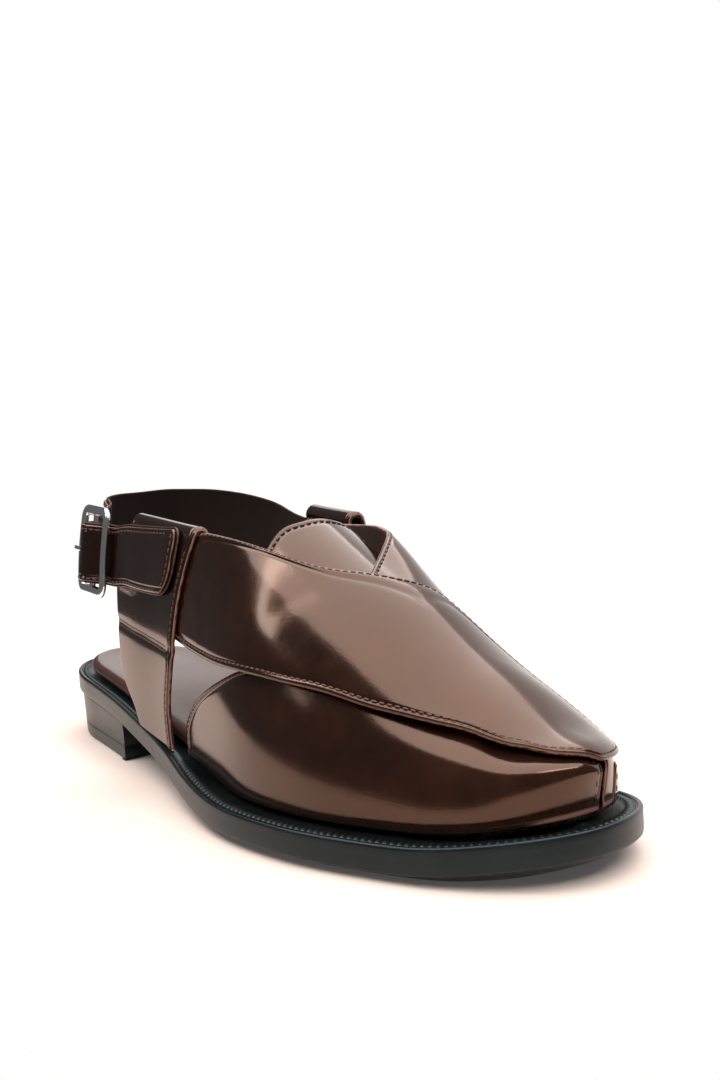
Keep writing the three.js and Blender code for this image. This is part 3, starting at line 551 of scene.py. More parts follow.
def sunk_edge(piece):
    """The lowest edge of a wing sits in the dark welt, so it isn't coloured as a cut edge."""
    co = np.empty(len(piece.data.vertices) * 3)
    piece.data.vertices.foreach_get("co", co)
    co = co.reshape(-1, 3) / MM
    cut = piece.data.attributes["cut"].data
    value = np.empty(len(co))
    cut.foreach_get("value", value)
    rise = co[:, 2] - sole_top(length_share(co[:, 1]))
    cut.foreach_set("value", value * soft((rise - 1.5) / 1.5))


sunk_edge(wing_lateral)
sunk_edge(wing_medial)


def toe_place(a, b, out):
    """Point of the strap end behind the toe slit."""
    return last(mix(-1.055, -1.115, a), mix(0.0, 0.42, b), out)


toe_end = patch("toe_end", toe_place, *TOE_END)

# %% [markdown]
# ## The tongue
# A rounded leaf lies under the crossing and keeps the straps' edges off the foot. It is a
# patch of the last like the straps, one layer further in.

# %% Cut the tongue
TONGUE = (-1.4, 0.2)
tongue_top = fair([(-.44, .65), (-.41, .59), (-.36, .564), (-.23, .563), (-.09, .569), (.07, .571),
                   (.197, .566), (.27, .58), (.31, .61), (.34, .66)], .05)


def tongue_place(a, b, out):
    """Point of the tongue: a across it, b from its top edge forwards."""
    across = mix(-0.44, 0.34, a)
    return crossing(mix(tongue_top(across), 0.75, b), across, out)


tongue = patch("tongue", tongue_place, *TONGUE, groove=("b0",))

# %% [markdown]
# ## The stays
# On each side a stay rises from the sole, folds over at the top and comes down inside, so it
# makes a tunnel for the heel strap. Its path is straight up, a half circle, and straight
# down, and the distance out adds to the half circle's radius, so the fold keeps its thickness.

# %% Fold the stays
stay_rear = fair([(0, .405), (.1, .395), (.2, .374), (.3, .366), (.45, .366), (.65, .366), (.85, .385),
                  (1, .405)], .1)
stay_front = fair([(0, .466), (.1, .462), (.2, .463), (.3, .468), (.45, .474), (.65, .481), (.85, .49),
                   (1, .496)], .1)
MEDIAL_SPLAY, MEDIAL_FORWARD = 12, (0.042, 0.018)
STAY_OUT = 6.1
STAY_THICK = 1.9
STAY_TOP, STAY_FRONT_TOP = {-1: 99.5, 1: 97.5}, 95.5
RISE_ENDS, FOLD_ENDS = 0.6, 0.7
FULL_RISE, INNER_PLY = 0.96, 0.42


def splayed(points, amount):
    """The points of the medial stay lean outwards, more with their height."""
    points[..., 0] += MEDIAL_SPLAY * soft((points[..., 2] - 28) / 64) * amount
    return points


def seam_rise(a):
    """Share of the path at which the seam that closes the tunnel crosses the stay."""
    return 0.313 - 0.031 * a


def stay_place(sign):
    """Points of a stay: a from its rear edge to the front one, b along the rise, the fold and
    the inner ply. The distance out is taken from the middle of the leather."""
    inside = 1.0 if sign < 0 else 1.6
    radius = (STAY_OUT + inside) / 2
    centre = (STAY_OUT - inside) / 2
    foot = last(-0.43, 0.0, 0.0)[2] + 0.4

    def place(a, b, out):
        """Point at shares a and b of this stay."""
        angle = math.pi * np.clip((b - RISE_ENDS) / (FOLD_ENDS - RISE_ENDS), 0, 1)
        rise = np.where(b < RISE_ENDS, FULL_RISE * b / RISE_ENDS,
                        FULL_RISE - INNER_PLY * np.clip((b - FOLD_ENDS) / (1 - FOLD_ENDS), 0, 1))
        forward = mix(*MEDIAL_FORWARD, a) * (sign > 0) * rise / FULL_RISE
        turn = mix(stay_rear(rise), stay_front(rise), a) * sign + forward
        top = mix(STAY_TOP[sign], STAY_FRONT_TOP, a) - radius
        drawn = 0.4 * bell(b, seam_rise(a) - 0.008, 0.014)
        r = radius - STAY_THICK / 2 + out - drawn
        z = mix(foot, top, rise / FULL_RISE) + r * np.sin(angle)
        low = sole_top(share(turn)) + GAP + 0.1
        z = mix(low, z, soft(b / 0.06))
        return splayed(last(turn, up_at(turn, z), centre + r * np.cos(angle)), float(sign > 0))
    return place


HALF_STAY = STAY_THICK / 2
stay_lateral = patch("stay_lateral", stay_place(-1), -HALF_STAY, HALF_STAY, groove=("a1",), pitch=1.5)
stay_medial = patch("stay_medial", stay_place(1), -HALF_STAY, HALF_STAY, groove=("a1",), pitch=1.5)

# %% [markdown]
# ## The heel strap
# One long strap runs from the buckle side round the heel to the other stay. Its path is a
# run of stations, and each station is a straight or bent line across the strap. A smooth
# curve through the stations is worked out once on a dense grid, with its normals, and each
# ply of the strap is then a patch that looks its places up in that grid.

# %% A surface through stations
SHOE_BUCKLE = {"at": (-42.4, -42, 85.2), "forward": (-.07, -1, -.04), "up": (.12, -.04, .98),
               "width": 25, "height": 34.5, "bar": 4, "thick": 2.4, "axle": 1.3}
BUCKLE_AT = np.array(SHOE_BUCKLE["at"])
E1 = unit(np.array(SHOE_BUCKLE["forward"], float))
E2 = unit(np.array(SHOE_BUCKLE["up"], float))
E3 = unit(np.cross(E1, E2))


def in_buckle(forward, up, out):
    """Point by the buckle's own axes: forward to the toe, up the ankle, out of its plane."""
    forward, up, out = matched(forward, up, out)
    return BUCKLE_AT + forward[..., None] * E1 + up[..., None] * E2 + out[..., None] * E3


def through(stations, ease=9):
    """Place function of a surface through rows of points: between four rows runs the cubic whose
    tangents join the neighbours. The rows are then averaged over a short window along the way."""
    q = np.asarray(stations, float)
    q = np.concatenate([2 * q[:1] - q[1:2], q, 2 * q[-1:] - q[-2:-1]])
    n = len(q) - 3
    s = np.linspace(0, n, 40 * n + 1)
    k = np.minimum(s.astype(int), n - 1)
    f = (s - k)[:, None, None]
    a, b, c, d = q[k], q[k + 1], q[k + 2], q[k + 3]
    rows = 0.5 * (2 * b + (c - a) * f + (2 * a - 5 * b + 4 * c - d) * f ** 2
                  + (3 * b - a - 3 * c + d) * f ** 3)
    walked = walk(rows.mean(1))
    even = np.linspace(0, walked[-1], 1200)
    rows = np.stack([on_line(rows[:, j], walked, even) for j in range(rows.shape[1])], 1)
    for _ in range(2):
        w = np.pad(rows, ((ease, ease), (0, 0), (0, 0)), mode="reflect", reflect_type="odd")
        total = np.cumsum(np.concatenate([np.zeros((1,) + w.shape[1:]), w]), 0)
        rows = (total[2 * ease + 1:] - total[:-2 * ease - 1]) / (2 * ease + 1)
    normal = unit(np.cross(np.gradient(rows, axis=1), np.gradient(rows, axis=0)))

    def look_up(grid, x, y):
        """Value of the grid between its four nearest points."""
        i = np.clip(x, 0, 1) * (grid.shape[0] - 1)
        j = np.clip(y, 0, 1) * (grid.shape[1] - 1)
        i0 = np.minimum(i.astype(int), grid.shape[0] - 2)
        j0 = np.minimum(j.astype(int), grid.shape[1] - 2)
        u, v = (i - i0)[..., None], (j - j0)[..., None]
        return (mix(grid[i0, j0], grid[i0 + 1, j0], u) * (1 - v)
                + mix(grid[i0, j0 + 1], grid[i0 + 1, j0 + 1], u) * v)

    def place(s, w, out):
        """Point at a share along, a share across and a distance out."""
        return look_up(rows, s, w) + look_up(normal, s, w) * np.asarray(out)[..., None]
    return place, walked[-1]


# %% Stations of the heel strap
ACROSS = np.linspace(0, 1, 25)
STRAP_WIDTH = 23.0
STRAP_OUT = 7.8
STRAP_TIP = [(-.48, 71.5, 94.5), (-.46, 71.4, 94.6), (-.44, 71.3, 94.8), (-.415, 71.8, 95.0),
             (-.398, 72.4, 95.2)]
STRAP_IN_BUCKLE = [(14, -2.9), (10.5, -2.8), (7.6, -2), (5.2, 1.2), (2.6, 4.1), (0, 4.9), (-2.6, 4.1),
                   (-5.2, 1.2), (-7.6, -2), (-10.5, -3.1), (-14, -4.6)]
STRAP_HEEL = [(-.24, 2.6, 71, 99.5), (-.17, 2.5, 69.5, 101), (-.1, 2.5, 69, 101.5), (-.03, 2.5, 69, 102),
              (.04, 2.5, 69, 102), (.11, 2.5, 69.5, 102.5), (.18, 2.5, 70, 102.5), (.25, 2.5, 70, 102),
              (.31, 2.5, 70, 100), (.36, 2.3, 70, 97), (.41, 2.3, 70, 92.5), (.475, 2.3, 70, 90.5)]


PULLED_FORWARD, LATERAL_MORE = 20, 4
PINCHED = {-1: 0.3, 1: 0.2}
PINCH_TURN = 0.18


def pulled(turn, z, out):
    """Point of the last drawn forwards and inwards behind the ankle, where the strap spans free."""
    p = last(turn, up_at(turn, z), out)
    k = soft(1 - abs(turn) / 0.4)
    m = min(1, max(0, 1 - abs(abs(turn) - PINCH_TURN) / PINCH_TURN))
    p[..., 1] -= PULLED_FORWARD * k + (LATERAL_MORE * m if turn < 0 else 0)
    p[..., 0] *= 1 - PINCHED[-1 if turn < 0 else 1] * m
    return splayed(p, float(soft((turn - 0.15) / 0.22)) if turn > 0 else 0.0)


strap_rows = [last(t, up_at(t, mix(lo, hi, ACROSS)), STRAP_OUT) for t, lo, hi in STRAP_TIP]
strap_rows += [in_buckle(f, (ACROSS - 0.5) * STRAP_WIDTH - 0.6, o) for f, o in STRAP_IN_BUCKLE]
strap_rows += [pulled(t, mix(lo, hi, ACROSS), o) for t, o, lo, hi in STRAP_HEEL]
strap_surface, STRAP_LENGTH = through(strap_rows)
print("heel strap length", round(float(STRAP_LENGTH)), "mm")


# %% [markdown]
# The photograph shows a glossy facing sewn on a slightly wider, duller backing. So the strap
# is two patches of one surface. One patch in two colours would miss the step at the edge.

# %% Two plies of the heel strap
STRAP_LINING = (-1.1, 0.0)
STRAP_FACING = (0.02, 1.15)
FACING_INSET = 0.9


def corner(t, long):
    """Set-back of a rounded corner: a quarter ellipse, from 0 to its full length at t of 1."""
    return long * (1 - np.sqrt(np.clip(1 - t ** 2, 0, 1)))


def strap_ply(inset):
    """Points of one ply: a from the rounded tip to the far end, b from the lower edge up.
    The tip is a corner of small radius above and one of large radius below."""
    def place(a, b, out):
        """Point at shares a and b of this ply."""
        w = mix(inset / STRAP_WIDTH, 1 - inset / STRAP_WIDTH, b)
        low = np.clip(1 - w / 0.46, 0, 1)
        high = np.clip((w - 0.8) / 0.2, 0, 1)
        start = (corner(low, 10.5) + corner(high, 4.5) + 1.5 * (1 - w) + inset) / STRAP_LENGTH
        return strap_surface(mix(start, 1.0, a), w, out)
    return place


strap_lining = patch("heel_strap_lining", strap_ply(0.0), *STRAP_LINING, pitch=1.6, radius=0.5)
strap_facing = patch("heel_strap_facing", strap_ply(FACING_INSET), *STRAP_FACING, pitch=1.6, radius=0.6,
                     groove=("a0", "b0", "b1"))

# %% [markdown]
# ## Outsole
# The rubber sole is moulded: a smooth side with a fine line under the rim, a flat rim, a step
# down, and radial ribs up to the leather. It is a run of rings round the outline, each at
# an inset and a height. The ribs are a wave of height along the ring, so they are real relief.

# %% Rings of the outsole
RIB_PITCH = 2.4


def even_turns(inset, count):
    """Turns of points at even distances round the outline."""
    t = np.linspace(-1, 1, 6001)
    p = edge(t, np.full(t.shape, inset))
    walked = walk(p)
    return np.interp((np.arange(count) + 0.5) / count * walked[-1], walked, t), walked[-1]


def along(points):
    """Share of the sole's length from the heel at each point."""
    return length_share(points[..., 1])


def ring(turns, inset, height):
    """Closed ring of points at an inset; height is a function of the share of the length."""
    p = edge(turns, np.broadcast_to(inset, turns.shape))
    return np.concatenate([p, height(along(p))[:, None]], 1)


def under_top(drop):
    """Heights at a drop under the sole's upper face."""
    return lambda u: sole_top(u) - drop


def by_edge(rise):
    """Heights at a rise over the lower edge of the sole's side."""
    return lambda u: sole_edge(u) + rise


def by_tread(share_up):
    """Heights at a share of the way from the tread up to the side's lower edge."""
    return lambda u: mix(tread(u), sole_edge(u), share_up)


def lid(loop, count, height):
    """Grid of points that closes a ring: straight lines from each point to its partner on the
    other side, at heights given by a function of the place."""
    half = len(loop) // 2
    s = np.linspace(0, 1, count)[None, :, None]
    grid = loop[:half][:, None] * (1 - s) + loop[::-1][:half][:, None] * s
    inner = grid[:, 1:-1]
    grid[:, 1:-1, 2] = height(inner)
    return grid


def ringed(name, rings, bottom, top, weld=4e-6):
    """Closed piece from a run of rings and the lids of its first and last one."""
    body = np.concatenate([rings, rings[:, :1]], 1)
    rows, cols = body.shape[:2]
    points = [body.reshape(-1, 3), bottom.reshape(-1, 3), top.reshape(-1, 3)]
    start = [0, rows * cols, rows * cols + bottom[..., 0].size]
    quads = [quads_of(rows, cols), quads_of(*bottom.shape[:2], False, start[1]),
             quads_of(*top.shape[:2], True, start[2])]
    return piece_from(name, np.concatenate(points), np.concatenate(quads), weld=weld)


RIB_WAVE = np.array([0, 0.75, 1, 0.75, 0, -0.25])
RIM_ENDS = 2.35
WELT_INSET = 5.0
RIBS = int(round(even_turns(WELT_INSET, len(RIB_WAVE))[1] / RIB_PITCH))
turns, girth = even_turns(WELT_INSET, RIBS * len(RIB_WAVE))
wave = np.tile(RIB_WAVE, RIBS)
print("girth of the welt", round(float(girth)), "mm, ribs", RIBS)
SIDE_RINGS = [(13, by_tread(0)), (10, by_tread(0)), (6.5, by_tread(.18)), (3.5, by_tread(.55)),
              (1.4, by_edge(-.1)), (.6, by_edge(.12)), (.18, by_edge(.5)), (0, by_edge(1.1)),
              (0, under_top(4.5)), (.05, under_top(2.7)), (0, under_top(1)), (.14, under_top(.45)),
              (.4, under_top(.1)), (.7, under_top(0)), (1.5, under_top(0)), (1.65, under_top(.3)),
              (1.85, under_top(.9)), (2.2, under_top(.9))]
RIB_RINGS = [(0, 0, .5), (.1, .45, .4), (.34, .5, .45), (.42, 0, 1.3), (1, 0, 1.3)]
rings = [ring(turns, inset, height) for inset, height in SIDE_RINGS]
for share_in, rib, drop in RIB_RINGS:
    loop = ring(turns, mix(RIM_ENDS, welt(turns) + 1.2, share_in), under_top(drop))
    loop[:, 2] += rib * wave
    rings.append(loop)
rings = np.array(rings)
GROOVES = np.array([-151, -158, -165, -191, -198, -205, -212])
GROOVE_DEPTH, GROOVE_HALF, GROOVE_WALL = 1.2, 1.5, 0.7
GROOVE_ENDS = 15


def groove_depth(p, lines, left, right):
    """Depth of cross grooves: none beyond their half width, and full inside their soft walls."""
    near = np.abs(p[..., 1, None] - lines).min(-1)
    within = soft((p[..., 0] - left) / 2) * soft((right - p[..., 0]) / 2)
    return GROOVE_DEPTH * soft((GROOVE_HALF - near) / GROOVE_WALL) * within


def sole_floor(p):
    """Height of the tread: its own curve, raised in the cross grooves."""
    u = along(p)
    left = outline(-1.0, u)[..., 0] + GROOVE_ENDS
    right = outline(1.0, u)[..., 0] - GROOVE_ENDS
    return tread(u) + groove_depth(p, GROOVES, left, right)


outsole = ringed("outsole_rubber", rings, lid(rings[0], 26, sole_floor),
                 lid(rings[-1], 4, lambda p: sole_top(along(p)) - 0.4), weld=1e-6)

# %% [markdown]
# ## Heel
# The heel block follows the sole's outline and is cut off straight in front. Its outline is
# closed first, and its corners are eased by a running mean round the loop; each ring is then
# that outline moved in along its own normal.

# %% Rings of the heel
HEEL_TURN = 0.341
HEEL_INSET = 1.1
HEEL_GROOVES = np.array([-29, -22, -15, 15, 22])


def eased_loop(loop, rounds):
    """A closed loop averaged over three neighbours a few times, and the directions square to it."""
    for _ in range(rounds):
        loop = (np.roll(loop, 1, 0) + loop + np.roll(loop, -1, 0)) / 3
    d = unit(np.roll(loop, -1, 0) - np.roll(loop, 1, 0))
    return loop, np.stack([d[:, 1], -d[:, 0]], -1)


def heel_loop(count=480):
    """Closed outline of the heel that starts in the middle of its front face."""
    t = np.linspace(-HEEL_TURN, HEEL_TURN, 900)
    curve = edge(t, np.full(t.shape, HEEL_INSET))
    front = mix(curve[-1], curve[0], np.linspace(0, 1, 300)[:, None])
    loop = np.concatenate([front[150:], curve[1:], front[1:151]])
    walked = walk(loop)
    return eased_loop(on_line(loop, walked, (np.arange(count) + 0.5) / count * walked[-1]), 2)


loop, inward = heel_loop()
centre = loop.mean(0)
inward = inward * np.sign(((centre - loop) * inward).sum(-1).mean())


def heel_ring(inset, height):
    """One ring of the heel at an inset, at heights from a function of the length share."""
    p = loop + inward * inset
    return np.concatenate([p, height(along(p))[:, None]], 1)


def flat(value):
    """The same height everywhere."""
    return lambda u: np.full(np.shape(u), float(value))


def under_tread(drop):
    """Heights at a drop under the outsole's own lower face."""
    return lambda u: tread(u) - drop


LINE_TOP = 6.2
HEEL_RINGS = [(6, flat(0)), (2.4, flat(0)), (1.8, flat(.08)), (1.35, flat(.35)), (1.1, flat(.9)),
              (.95, flat(3)), (.85, flat(5.6)), (1.05, flat(5.8)), (1.05, flat(6)),
              (.85, flat(LINE_TOP)), (.5, lambda u: mix(LINE_TOP, tread(u), 0.6)),
              (.25, under_tread(1.2)), (.3, under_tread(.6)), (.6, under_tread(GAP)), (4, under_tread(GAP))]
heel_rings = np.array([heel_ring(inset, height) for inset, height in HEEL_RINGS])
heel_bottom = lid(heel_rings[0], 20, lambda p: groove_depth(p, HEEL_GROOVES, -16, 18))
heel = ringed("heel_block", heel_rings, heel_bottom,
              lid(heel_rings[-1], 4, lambda p: tread(along(p)) - GAP))

# %% [markdown]
# ## Insole
# A thin padded bed lies between the stays, covered in glossy leather that rolls over its
# edge. It is a firm pad, so its crown and its rolled edge are given by rings and not by a
# cloth simulation: nothing in it sags, and a remesh would round off the fine edge.

# %% Rings of the insole
pad_turns = even_turns(8.0, 720)[0]
pad_inset = welt(pad_turns)
PAD_RINGS = [(1.6, .3), (1.15, .45), (.85, .8), (.68, 1.3), (.6, 1.9), (.62, 2.5), (.75, 3), (1.05, 3.5),
             (1.6, 3.95), (2.5, 4.35), (3.6, 4.5), (5, 4.5), (7, 4.35), (10, 4.15), (14, 4)]
pad_rings = np.array([ring(pad_turns, pad_inset + extra, under_top(-rise)) for extra, rise in PAD_RINGS])
insole = ringed("insole_pad", pad_rings, lid(pad_rings[0], 4, lambda p: sole_top(along(p)) + GAP),
                lid(pad_rings[-1], 24, lambda p: sole_top(along(p)) + 4.0))

# %% [markdown]
# ## Buckle
# The frame is one bent bar of polished steel: a flattened profile carried round a rounded
# rectangle. The axle is a thin round bar between its long sides, and the prong is a tapered
# wire that turns round the axle and rests on the rear bar.

# %% Frame, axle and prong of the buckle
BUCKLE_CORNER = 5.0
BUCKLE_BOW = 0.9
AXLE_HALF = 15.4
EYE_RADIUS = 2.25
PRONG_END, PRONG_REST = -13.6, 2.6
def swept(centre, side, lift, radii, profile, closed):
    """Tube along a path: at each point the profile is scaled and laid between two directions."""
    points = (centre[:, None] + side[:, None] * profile[None, :, 0:1] * radii[:, None, 0:1]
              + lift[:, None] * profile[None, :, 1:2] * radii[:, None, 1:2])
    if closed:
        points = np.concatenate([points, points[:1]])
    else:
        ends = centre[[0, -1]][:, None] + np.zeros((1, len(profile), 1))
        points = np.concatenate([ends[:1], points, ends[1:]])
    return points, quads_of(*points.shape[:2])


def profile_of(count, power):
    """Closed superellipse of unit half widths."""
    a = np.linspace(0, 2 * math.pi, count + 1)
    c, s = np.cos(a), np.sin(a)
    return np.stack([np.sign(c) * np.abs(c) ** (2 / power), np.sign(s) * np.abs(s) ** (2 / power)], -1)


def frame_path(count=260):
    """Middle line of the frame's bar with its outward direction, in the buckle's own axes."""
    half = np.array([SHOE_BUCKLE["width"], SHOE_BUCKLE["height"]]) / 2
    r = BUCKLE_CORNER - SHOE_BUCKLE["bar"] / 2
    rows = []
    for k, signs in enumerate([(1, 1), (-1, 1), (-1, -1), (1, -1)]):
        a = np.linspace(0, math.pi / 2, 40) + k * math.pi / 2
        rows.append(signs * (half - BUCKLE_CORNER) + r * np.stack([np.cos(a), np.sin(a)], -1))
    path = np.concatenate(rows + [rows[0][:1]])
    walked = walk(path)
    return eased_loop(on_line(path, walked, np.arange(count) / count * walked[-1]), 3)


def buckle_points(p):
    """From the buckle's own axes to the shoe's."""
    return in_buckle(p[..., 0], p[..., 1], p[..., 2])


path, outward = frame_path()
bow = BUCKLE_BOW * (1 - (path[:, 1] / (SHOE_BUCKLE["height"] / 2)) ** 2)
flat_path = np.concatenate([path, bow[:, None]], 1)
flat_out = np.concatenate([outward, np.zeros((len(path), 1))], 1)
lift = np.tile([0.0, 0.0, 1.0], (len(path), 1))
bar = np.tile([SHOE_BUCKLE["bar"] / 2, SHOE_BUCKLE["thick"] / 2], (len(path), 1))
frame_mesh, frame_quads = swept(flat_path, flat_out, lift, bar, profile_of(28, 2.2), True)
y = np.linspace(-AXLE_HALF, AXLE_HALF, 24)
axle_line = np.stack([0 * y, y, 0 * y], -1)
ax, az = np.tile([1.0, 0, 0], (24, 1)), np.tile([0.0, 0, 1], (24, 1))
axle_radii = np.full((24, 2), SHOE_BUCKLE["axle"])
axle_mesh, axle_quads = swept(axle_line, ax, az, axle_radii, profile_of(20, 2), False)
points = np.concatenate([frame_mesh.reshape(-1, 3), axle_mesh.reshape(-1, 3)])
quads = np.concatenate([frame_quads, axle_quads[:, ::-1] + frame_mesh[..., 0].size])
buckle_frame = piece_from("buckle_frame_bar", buckle_points(points), quads)

round_axle = np.linspace(-1.9, 1.7, 40)
eye = EYE_RADIUS * np.stack([np.cos(round_axle), 0 * round_axle, np.sin(round_axle)], -1)
reach = np.linspace(0, 1, 40)[1:]
tip = np.stack([mix(eye[-1, 0], PRONG_END, reach), 0 * reach,
                mix(eye[-1, 2], PRONG_REST, reach) + 0.7 * np.sin(math.pi * reach ** 0.8)], -1)
wire = np.concatenate([eye, tip])
d = unit(np.gradient(wire, axis=0))
across_wire = np.tile([0.0, 1.0, 0.0], (len(wire), 1))
thin = mix(1.0, 0.72, np.linspace(0, 1, len(wire)))[:, None] * np.array([1.15, 0.85])
thin[-3:] *= np.array([[0.95], [0.75], [0.4]])
wire_mesh, wire_quads = swept(wire, across_wire, unit(np.cross(d, across_wire)), thin,
                              profile_of(20, 2.3), False)
buckle_prong = piece_from("buckle_prong_wire", buckle_points(wire_mesh), wire_quads)

# %% [markdown]
# ## Chape
# The short tab that holds the buckle comes off the side of the shoe and turns round the axle.
# It is a narrow strap like the heel strap, so the same surface through stations serves it.

# %% Cut the chape
tab = np.linspace(0, 1, 13)
CHAPE_OUT, HALF_CHAPE = 2.6, 0.85
chape_rows = [last(t, up_at(t, mix(low, 94, tab)), CHAPE_OUT)
              for t, low in ((-.452, 74), (-.425, 74), (-.4, 74), (-.38, 74.5))]
chape_rows += [in_buckle(f, mix(-10, 9, tab), o) for f, o in [
    (2.2, -8.8), (-.6, -6.0), (-2.0, -3.6), (-2.35, -1.2), (-1.7, 1.5), (0, 2.4), (1.7, 1.5), (2.3, 0),
    (1.8, -1.6), (.6, -2.6)]]
chape_surface, chape_length = through(chape_rows, 6)
chape = patch("buckle_chape_tab", chape_surface, -HALF_CHAPE, HALF_CHAPE, pitch=1.2, radius=0.7)
print("chape length", round(float(chape_length)), "mm")

# %% [markdown]
# ## Sewing
# Every seam of the photograph gets its row: along the straps, the wings' rear ends and slit
# edges, the tongue's top and the stays, and two rows close together where a stay is shut.
# All rows become one piece, because they share one thread.

# %% Sew the seams
def gather(name):
    """All beads so far as one piece."""
    beads = np.concatenate(THREADS)
    count, size = beads.shape[:2]
    q = quads_of(BEAD_STEPS, BEAD_STEPS)
    quads = (q[None] + (np.arange(count) * size)[:, None, None]).reshape(-1, 4)
    THREADS.clear()
    return piece_from(name, beads, quads)


for side, start, stop in (("b0", 0, 1), ("b1", 0, 1), ("a0", .02, .98)):
    stitch(*in_from(over_place, side, SEAM_INSET, OVER[1], start, stop))
stitch(*in_from(under_place, "a0", SEAM_INSET, UNDER[1]))
for sign in (-1, 1):
    stitch(*in_from(wing_place(sign), "a0", SEAM_INSET, WING[1]))
    stitch(*in_from(wing_place(sign), "a1", 2.4, WING[1], 0.02, 0.95), pitch=3.6)
stitch(*in_from(tongue_place, "b0", SEAM_INSET, TONGUE[1], 0.03, 0.97))
for sign in (-1, 1):
    stitch(*in_from(stay_place(sign), "a1", SEAM_INSET, HALF_STAY, 0.03, 0.56))
    run = np.linspace(0.03, 0.9, 90)
    for lower in (0.0, 0.016):
        stitch(*seam_line(stay_place(sign), run, seam_rise(run) - lower, HALF_STAY), pitch=2.0)
for side, start, stop in (("a0", .1, .95), ("b0", .02, .98), ("b1", .02, .98)):
    stitch(*in_from(strap_ply(FACING_INSET), side, 1.9, STRAP_FACING[1], start, stop, 500))
seams = gather("stitching")

# %% [markdown]
# ## Finishes
# Shader maths is written as plain expressions: a small class wraps a socket, and each
# operator adds its Math node. Everything else goes through one method that makes any node.

# %% A small language for shaders
class Value:
    """A number socket that can be added, multiplied and compared with others."""

    def __init__(self, finish, socket):
        self.finish = finish
        self.socket = socket

    def _math(self, operation, *values):
        return self.finish.node("ShaderNodeMath", {"operation": operation}, values)

    def __add__(self, other):
        return self._math("ADD", self, other)

    def __radd__(self, other):
        return self._math("ADD", other, self)

    def __sub__(self, other):
        return self._math("SUBTRACT", self, other)

    def __rsub__(self, other):
        return self._math("SUBTRACT", other, self)

    def __mul__(self, other):
        return self._math("MULTIPLY", self, other)

    def between(self, low, high):
        """0 at low and 1 at high, eased."""
        return self.finish.node("ShaderNodeMapRange", {"interpolation_type": "SMOOTHSTEP"},
                                [self, low, high, 0.0, 1.0])


class Finish:
    """One material: its Principled shader and the nodes that feed it."""

    def __init__(self, name):
        self.material = bpy.data.materials.new(name)
        self.material.use_nodes = True
        self.tree = self.material.node_tree
        self.shader = self.tree.nodes["Principled BSDF"]

    def node(self, kind, settings=None, values=(), out=0):
        """Any node: its settings first, then the values or links of its sockets, by order or name."""
        made = self.tree.nodes.new(kind)
        for key, value in (settings or {}).items():
            setattr(made, key, value)
        pairs = values.items() if isinstance(values, dict) else enumerate(values)
        for key, value in pairs:
            self.feed(made.inputs[key], value)
        return Value(self, made.outputs[out])

    def feed(self, socket, value):
        """Link a value to a socket, or set the socket to a constant."""
        if isinstance(value, Value):
            self.tree.links.new(value.socket, socket)
        else:
            socket.default_value = value

    def set(self, **sockets):
        """Sockets of the shader, by name with underscores for spaces."""
        for key, value in sockets.items():
            self.feed(self.shader.inputs[key.replace("_", " ")], value)

    def noise(self, scale, detail, rough):
        """Cloudy noise in the object's own coordinates, at a scale in lumps to a metre."""
        at = self.node("ShaderNodeTexCoord", out="Object")
        return self.node("ShaderNodeTexNoise", {},
                         {"Vector": at, "Scale": scale, "Detail": detail, "Roughness": rough})

    def field(self, name):
        """A number that the mesh carries at each vertex."""
        return self.node("ShaderNodeAttribute", {"attribute_name": name}, out="Fac")

    def blend(self, factor, a, b):
        """Colour a at 0 and colour b at 1."""
        return self.node("ShaderNodeMix", {"data_type": "RGBA"}, {0: factor, 6: a, 7: b}, out=2)

    def bump(self, height, distance):
        """Relief from a height, over a distance in metres."""
        return self.node("ShaderNodeBump", {}, {"Strength": 1.0, "Distance": distance, "Height": height})


def rgb(r, g, b):
    """A colour from display values of 0 to 255."""
    lin = [c / 255 / 12.92 if c <= 10 else ((c / 255 + 0.055) / 1.055) ** 2.4 for c in (r, g, b)]
    return (*lin, 1.0)


# %% [markdown]
# The leather is nearly black with warm clouds, and rubbed to a hard gloss. A strong mirror
# under a reddish tint gives its brown highlights, and a thin clear coat sharpens them. The
# mesh carries two numbers, so that one material can colour facing, cut edge and lining.

# %% Burnished leather
def leather(name, deep, warm, edge_colour, lining, warmth=0.5, haze=0.1, index=1.6):
    """Hard gloss leather: a deep brown that lightens to a warm one in clouds, fine pores,
    a raw edge colour where the mesh is cut, and a matt lining on its inner face."""
    f = Finish(name)
    clouds = f.noise(16.0, 3.0, 0.55)
    fine = f.noise(140.0, 3.0, 0.6)
    pores = f.noise(1500.0, 2.0, 0.6)
    tone = f.blend((clouds * warmth + fine * 0.18 - 0.12).between(0.12, 0.62), deep, warm)
    cut = f.field("cut")
    inner = f.field("lining")
    colour = f.blend(inner.between(0.4, 0.6), tone, lining)
    colour = f.blend(cut.between(0.35, 0.7) * (1 - inner), colour, edge_colour)
    gloss = haze + fine * 0.06 + pores * 0.03
    rough = gloss + (0.62 - gloss) * inner.between(0.4, 0.6) + cut * 0.25
    f.set(Base_Color=colour, Roughness=rough, IOR=index, Specular_Tint=(1.0, 0.6, 0.43, 1.0),
          Coat_IOR=1.45, Coat_Roughness=0.06, Coat_Tint=(1.0, 0.9, 0.85, 1.0),
          Coat_Weight=(1 - inner) * (1 - cut) * 0.2, Normal=f.bump(pores * 0.6 + fine, 0.00004))
    return f.material


